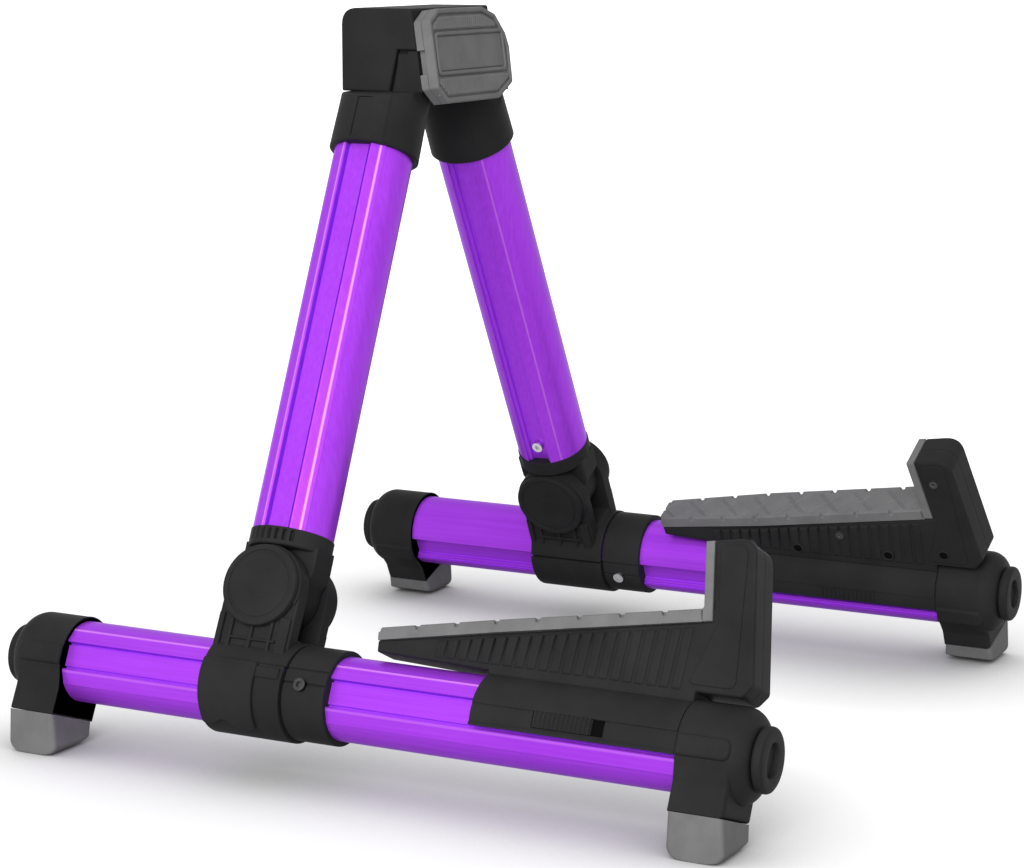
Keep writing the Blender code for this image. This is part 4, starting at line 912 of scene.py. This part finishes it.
def pad_skins():
    """Skins of the L-shaped rubber: patterned seat and a plain lip with bevelled edges."""
    along = np.linspace(-SEAT_LENGTH, -0.2, 640)
    across = np.linspace(-ARM_HALF, ARM_HALF, 49)
    seat = slab("v", along, across, -RUBBER, lambda a, b: -seat_relief(a + SEAT_LENGTH, b))
    for grid in seat:
        placed = seat_point(grid[..., 0], grid[..., 2])
        grid[..., 0] = grid[..., 1]
        grid[..., 1:] = placed
    side = [(-1.5, -RUBBER), (LIP_RUBBER, -RUBBER), (LIP_RUBBER, LIP_HEIGHT), (0, LIP_HEIGHT), (0, 0.3),
            (-1.5, -0.2)]
    lip = Profile([seat_point(*corner) for corner in side], [0.1, 0.2, 0.3, 0.5, 1.5, 0.2], 5)
    return drawn_in([seat, moulding("u", lip, -ARM_HALF, ARM_HALF, 0.6, 0.6)])


def sleeve_skins():
    """Skins of the sleeve: an open ring with a sunk band along each side, a window in the outer one
    for the slider, and grip ribs in the inner one."""
    start, end, sunk = SLEEVE_START, SLEEVE_END, SLEEVE_RADIUS - 0.5
    window_start, window_end = 193.0, 219.6
    parts = ((SLEEVE_RADIUS, 9.8, 158.5, 60, start, end, 0.4), (sunk, 158.0, 179.5, 16, start, end, 0.3),
             (SLEEVE_RADIUS, -17.3, -13.4, 8, start, end, 0.3), (sunk, -13.6, -10.4, 8, start, end, 0.3),
             (sunk, -10.6, 10.0, 16, start, window_start, 0.3), (sunk, -10.6, 10.0, 16, window_end, end, 0.1))
    skins = [moulding("s", sector(SLEEVE_BORE, radius, low, high, count), first, last, soft, 0.1)
             for radius, low, high, count, first, last, soft in parts]
    rib = sector(15.9, SLEEVE_RADIUS - 0.1, 161.5, 176.5, 12)
    for s in 195.5 + 1.9 * np.arange(13):
        skins.append(moulding("s", rib, s, s + 1.1, 0.15, 0.15))
    return skins


def slider_skins():
    """The slider: a curved key with a row of fine grip ribs."""
    start, length, ribs, plain = 193.4, 21.8, 13, 0.4
    stations = np.linspace(start, start + length, 260)
    outlines = []
    for s in stations:
        wave = 0.5 - 0.5 * math.cos(2 * math.pi * ribs * (s - start) / length)
        edge = min(s - start, start + length - s)
        outlines.append(sector(15.4, 16.55 + 0.75 * wave if edge > plain else 16.3, -9.6, 9.2, 12))
    return [stacked("s", outlines, stations)]


# Screw holes in the arm's inner shell, and profiles of (radius, height from the shell's face); in the holes
# without a screw a near-black disc stands for the shade
SINKS = ((250.0, 59.8), (205.7, 28.8), (165.4, 19.6), (185.9, 19.8), (225.8, 21.0), (249.9, 24.0))
SCREWED = ("lip", "middle", "tip")
SINK_RIM = ((1.7, 0.8), (2.5, 0.8), (2.5, -0.55), (2.3, -0.8), (1.9, -0.8), (1.7, -0.6), (1.7, 0.8))
SINK_SHADE_DISC = ((0, 0.6), (1.8, 0.6), (1.8, -0.62), (0, -0.62))
SCREW_HEAD = ((0, 0.6), (1.8, 0.6), (1.8, -0.6), (0.7, -0.66), (0.5, -0.5), (0, -0.5))


def in_inner_shell(profile, places, count=32):
    """A profile turned at each of some places in the arm's inner shell."""
    profile = [(radius, height - ARM_HALF) for radius, height in profile]
    return drawn_in([turned("u", profile, at, count) for at in places])


def make_arm(name, base):
    """One support arm with its rubber, sleeve and slider."""
    body = f"{name}_arm"
    dress("arm_outer_shell", "moulded", name, body, "nylon", base, arm_skins(1))
    dress("arm_inner_shell", "moulded", name, body, "nylon", base, arm_skins(-1))
    dress("arm_pad", "moulded", name, body, "rubber", base, pad_skins(), 30)
    dress("arm_sleeve", "moulded", name, body, "nylon", base, sleeve_skins())
    # a near-black sheet under the slot and near-black discs in the empty holes stand for the shade there
    floor = moulding("s", sector(15.1, 15.45, -12.0, 12.0, 16), 192.5, 220.1, 0.05, 0.05)
    bare = SINKS[len(SCREWED):]
    piece(f"sleeve_slot_painted_shade_{name}", body, "nylon_painted_shade", base, [floor])
    piece(f"arm_screw_rims_{name}", body, "nylon", base, in_inner_shell(SINK_RIM, SINKS, 40))
    piece(f"arm_screw_holes_{name}", body, "nylon_painted_shade", base, in_inner_shell(SINK_SHADE_DISC, bare))
    for at, which in zip(SINKS, SCREWED):
        head = in_inner_shell(SCREW_HEAD, [at])
        dress("arm_screw", "turned", f"{which}_{name}", body, "steel_dark", base, head)
    dress("lock_slider", "moulded", name, f"{name}_slider", "nylon", base, slider_skins())


# Head

HEAD_HALF = 31.0
BLOCK_BACK, BLOCK_LOW, BLOCK_HIGH = -18.0, -5.2, 25.5
PAD_TILT = math.radians(8.0)
PAD_AT = (15.08, 6.62)


def face_station(v):
    """Station of the head's tilted front face at a height."""
    return PAD_AT[0] - (v - PAD_AT[1]) * math.tan(PAD_TILT)


def block_skins():
    """Skins of the head block: the hood, the cheek set back beside its slit, and the core."""
    low = BLOCK_LOW - 0.6
    hood = [(BLOCK_BACK, low), (2.6, low), (6.2, 10.0), (face_station(10.0), 10.0),
            (face_station(BLOCK_HIGH), BLOCK_HIGH), (BLOCK_BACK, BLOCK_HIGH)]
    hood = Profile(hood, [0.8, 0.3, 0.4, 0.3, 1.0, 6.5], 10)
    cheek = Profile([(4.6, low), (face_station(low), low), (face_station(9.7), 9.7),
                     (10.6, 9.7), (10.6, 8.6), (6.7, 8.6)], 0.3, 4)
    core = Profile([(BLOCK_BACK + 1, low + 0.4), (face_station(low), low + 0.4),
                    (face_station(12.0), 12.0), (BLOCK_BACK + 1, 12.0)], 0.4, 4)
    parts = ((hood, HEAD_HALF, 1.0, 6), (cheek, HEAD_HALF - 0.5, 0.5, 4), (core, HEAD_HALF - 3.0, 0.3, 4))
    return [moulding("u", outline, -half, half, soft, soft, steps) for outline, half, soft, steps in parts]


def ring_skin(shape, start, width, low, high, soft=0.3):
    """A raised frame that follows an outline: a section of the width, carried round it."""
    section = [(0, low), (0, high - soft), (soft, high), (width - soft, high), (width, high - soft),
               (width, low), (0, low)]
    loops = [shape.inset(start + inset) for inset, _ in section]
    return stacked("s", loops, [height for _, height in section])


def pad_place(place):
    """The head pad's tilted frame: (u, thickness, v) to neutral coordinates, then to the world."""
    c, s = math.cos(PAD_TILT), math.sin(PAD_TILT)

    def carry(points):
        u, t, v = points[..., 0], points[..., 1], points[..., 2]
        return place(np.stack([u, PAD_AT[0] + t * c - v * s, PAD_AT[1] + t * s + v * c], -1))
    return carry


def cut_across(corners, low, high):
    """The part of a convex outline between two heights (clipped edge by edge)."""
    for limit, keep in ((low, 1), (high, -1)):
        kept = []
        for a, b in zip(corners, corners[1:] + corners[:1]):
            inside_a, inside_b = keep * (a[1] - limit) >= 0, keep * (b[1] - limit) >= 0
            if inside_a:
                kept.append(a)
            if inside_a != inside_b:
                share = (limit - a[1]) / (b[1] - a[1])
                kept.append((a[0] + share * (b[0] - a[0]), limit))
        corners = kept
    return corners


def band_skins(band):
    """One rippled band of the head pad: a flat slab, and a sheet whose height is 0.9 times a cosine
    wave along u within the band's outline."""
    edges = np.array(band)
    margin, pitch, depth = 0.35, 1.6, 0.9
    u, v = (np.linspace(edges[:, axis].min() + 0.3, edges[:, axis].max() - 0.3, count)
            for axis, count in ((0, 513), (1, 21)))

    def ripple(a, b):
        inside = np.ones_like(a)
        for (x0, y0), (x1, y1) in zip(edges, np.roll(edges, -1, 0)):
            inside *= ((x1 - x0) * (b - y0) - (y1 - y0) * (a - x0)) > margin * math.hypot(x1 - x0, y1 - y0)
        wave = 0.5 + 0.5 * np.cos(2 * math.pi * a / pitch)
        return 6.4 + inside * (0.1 + depth * wave)
    return [moulding("s", Profile(band, 0.3, 3), 4.5, 6.8, 0.1, 0.25), slab("s", u, v, 5.6, ripple)]


def head_pad_skins():
    """Skins of the head pad: slab, raised border, rippled bands and a plain framed plaque."""
    left, notch, notch_high, notch_low = -31.0, -28.9, 3.0, -6.0
    corners = [(left, -11.5), (-23.5, -17.6), (17.5, -17.6), (30.0, -12.0), (30.6, 2.0), (28.6, 7.5),
               (22.0, 14.9), (12.0, 18.0), (-23.5, 18.0), (left, 13.8)]
    notched = corners + [(left, notch_high), (notch, notch_high), (notch, notch_low), (left, notch_low)]
    back = Profile(notched, [1.6] * len(corners) + [0.3] * 4, 5)
    outer = Profile(corners, 1.6, 5)
    skins = [moulding("s", back, 0.3, 3.5, 0.4, 0.3), moulding("s", outer, 3.6, 6.2, 0.25, 0.1),
             ring_skin(outer, -0.04, 2.0, 4.0, 7.4, 0.45)]
    inner = [tuple(point) for point in outer.inset(2.7)[2::5].tolist()]
    for low, high in ((9.9, 30.0), (-30.0, -7.7)):
        skins += band_skins(cut_across(inner, low, high))
    plaque = box((-27.8, -7.1), (27.0, 9.3), 2.6, 7)
    skins.append(ring_skin(plaque, 0.0, 1.4, 4.5, 7.3, 0.35))
    skins.append(moulding("s", Profile(plaque.inset(1.85), 0.0, 1), 4.5, 6.7, 0.1, 0.3))
    return skins


def make_head():
    """The head block and its pad, in a level frame."""
    _, y, z = JOINTS["left_spread"]
    place = Place((0.0, y, z), lean=0.0)
    piece("head_block_moulded", "head", "nylon", place, block_skins(), ("head_block",))
    piece("head_pad_moulded", "head", "rubber", pad_place(place), head_pad_skins(), ("head_pad",), 30)


# Stage

CAMERA_AT = (-0.9435, -0.4754, 0.2965)
CAMERA_YAW = math.radians(62.65)
CAMERA_PITCH = math.radians(-10.23)
FOCAL_PIXELS = 2767.6
FRAME_WIDTH = 1024
SENSOR = 36.0


def make_camera():
    """The photograph's camera, fitted to the stand's parallel tubes."""
    data = bpy.data.cameras.new("photograph")
    data.sensor_width = SENSOR
    data.lens = FOCAL_PIXELS * SENSOR / FRAME_WIDTH
    data.clip_start, data.clip_end = 0.01, 100.0
    camera = add_object("photograph", data, CAMERA_AT)
    camera.rotation_euler = (math.pi / 2 + CAMERA_PITCH, 0.0, -CAMERA_YAW)
    bpy.context.scene.camera = camera


def soft_light(name, at, aim, size, power):
    """A square area lamp aimed at a point."""
    data = bpy.data.lights.new(name, "AREA")
    data.energy = power
    data.size = size
    lamp = add_object(name, data, at)
    lamp.rotation_mode = "QUATERNION"
    lamp.rotation_quaternion = (Vector(aim) - Vector(at)).to_track_quat("-Z", "Y")


def camera_share(nodes):
    """1 for rays from the camera, and for those that mirror or pass through to the backdrop."""
    seen = nodes.add("ShaderNodeLightPath", {}, {}, "Is Camera Ray")
    mirrored = seen.math("MAXIMUM", seen.beside("Is Glossy Ray"))
    return mirrored.math("MAXIMUM", seen.beside("Is Transmission Ray"))


def make_backdrop():
    """White all round for the camera and for mirrors, and a dim even light on the stand."""
    ambient, shown = 0.28, 1.0
    world = bpy.data.worlds.new("studio")
    world.use_nodes = True
    bpy.context.scene.world = world
    nodes = Nodes(world.node_tree)
    strength = nodes.add("ShaderNodeMix", {}, {0: camera_share(nodes), 2: ambient, 3: shown})
    background = world.node_tree.nodes["Background"]
    nodes.feed(background.inputs["Color"], grey(1.0))
    nodes.feed(background.inputs["Strength"], strength)


def make_floor():
    """White floor that keeps the shadow: it glows for the camera where the sky above it is open, so that ambient
    occlusion paints a contact shadow into it near the stand, and it glows more away from the stand, so that it
    runs into the backdrop."""
    half, drop = 40.0, 0.0003
    mesh = bpy.data.meshes.new("floor")
    corners = [(x, y, 0) for x, y in ((-half, -half), (half, -half), (half, half), (-half, half))]
    mesh.from_pydata(corners, [], [(0, 1, 2, 3)])
    floor = add_object("floor", mesh, (0.0, 0.0, -drop))
    cover = Shader("white floor")
    away = cover.add("ShaderNodeVectorMath", {"operation": "LENGTH"}, {0: cover.place}, "Value")
    open_sky = cover.add("ShaderNodeAmbientOcclusion", {"samples": 16}, {"Distance": 0.09}, "AO")
    # ambient occlusion dims the floor's camera-only light near the stand: a painted contact shadow
    glow_with_painted_shadow = 0.86 * open_sky.math("POWER", 1.8) + 0.40 * away.ramp(0.30, 0.75)
    cover.set(Base_Color=grey(0.42), Roughness=0.9, Specular_IOR_Level=0.05,
              Emission_Color=grey(1.0), Emission_Strength=glow_with_painted_shadow * camera_share(cover))
    mesh.materials.append(cover.material)


def make_stage():
    """Backdrop, floor, and soft studio light from the left."""
    bpy.context.scene.view_settings.view_transform = "Standard"
    make_backdrop()
    make_floor()
    soft_light("key from the left", (-1.6, -0.35, 0.75), (0, 0, 0.1), 1.1, 24)
    soft_light("fill from the front", (-0.2, -1.9, 0.9), (0, 0, 0.1), 1.2, 2.5)
    soft_light("top", (0.3, 0.3, 2.0), (0, 0, 0), 1.6, 2.5)


finish_cad_nodes()
make_head()
for side_name in SIDES:
    base_frame = base_place(side_name)
    upright_frame = upright_place(side_name)
    make_tubes(side_name, base_frame, upright_frame)
    make_ends(side_name, base_frame)
    make_hinge(side_name, base_frame)
    make_upright(side_name, upright_frame)
    make_arm(side_name, base_frame)
make_camera()
make_stage()
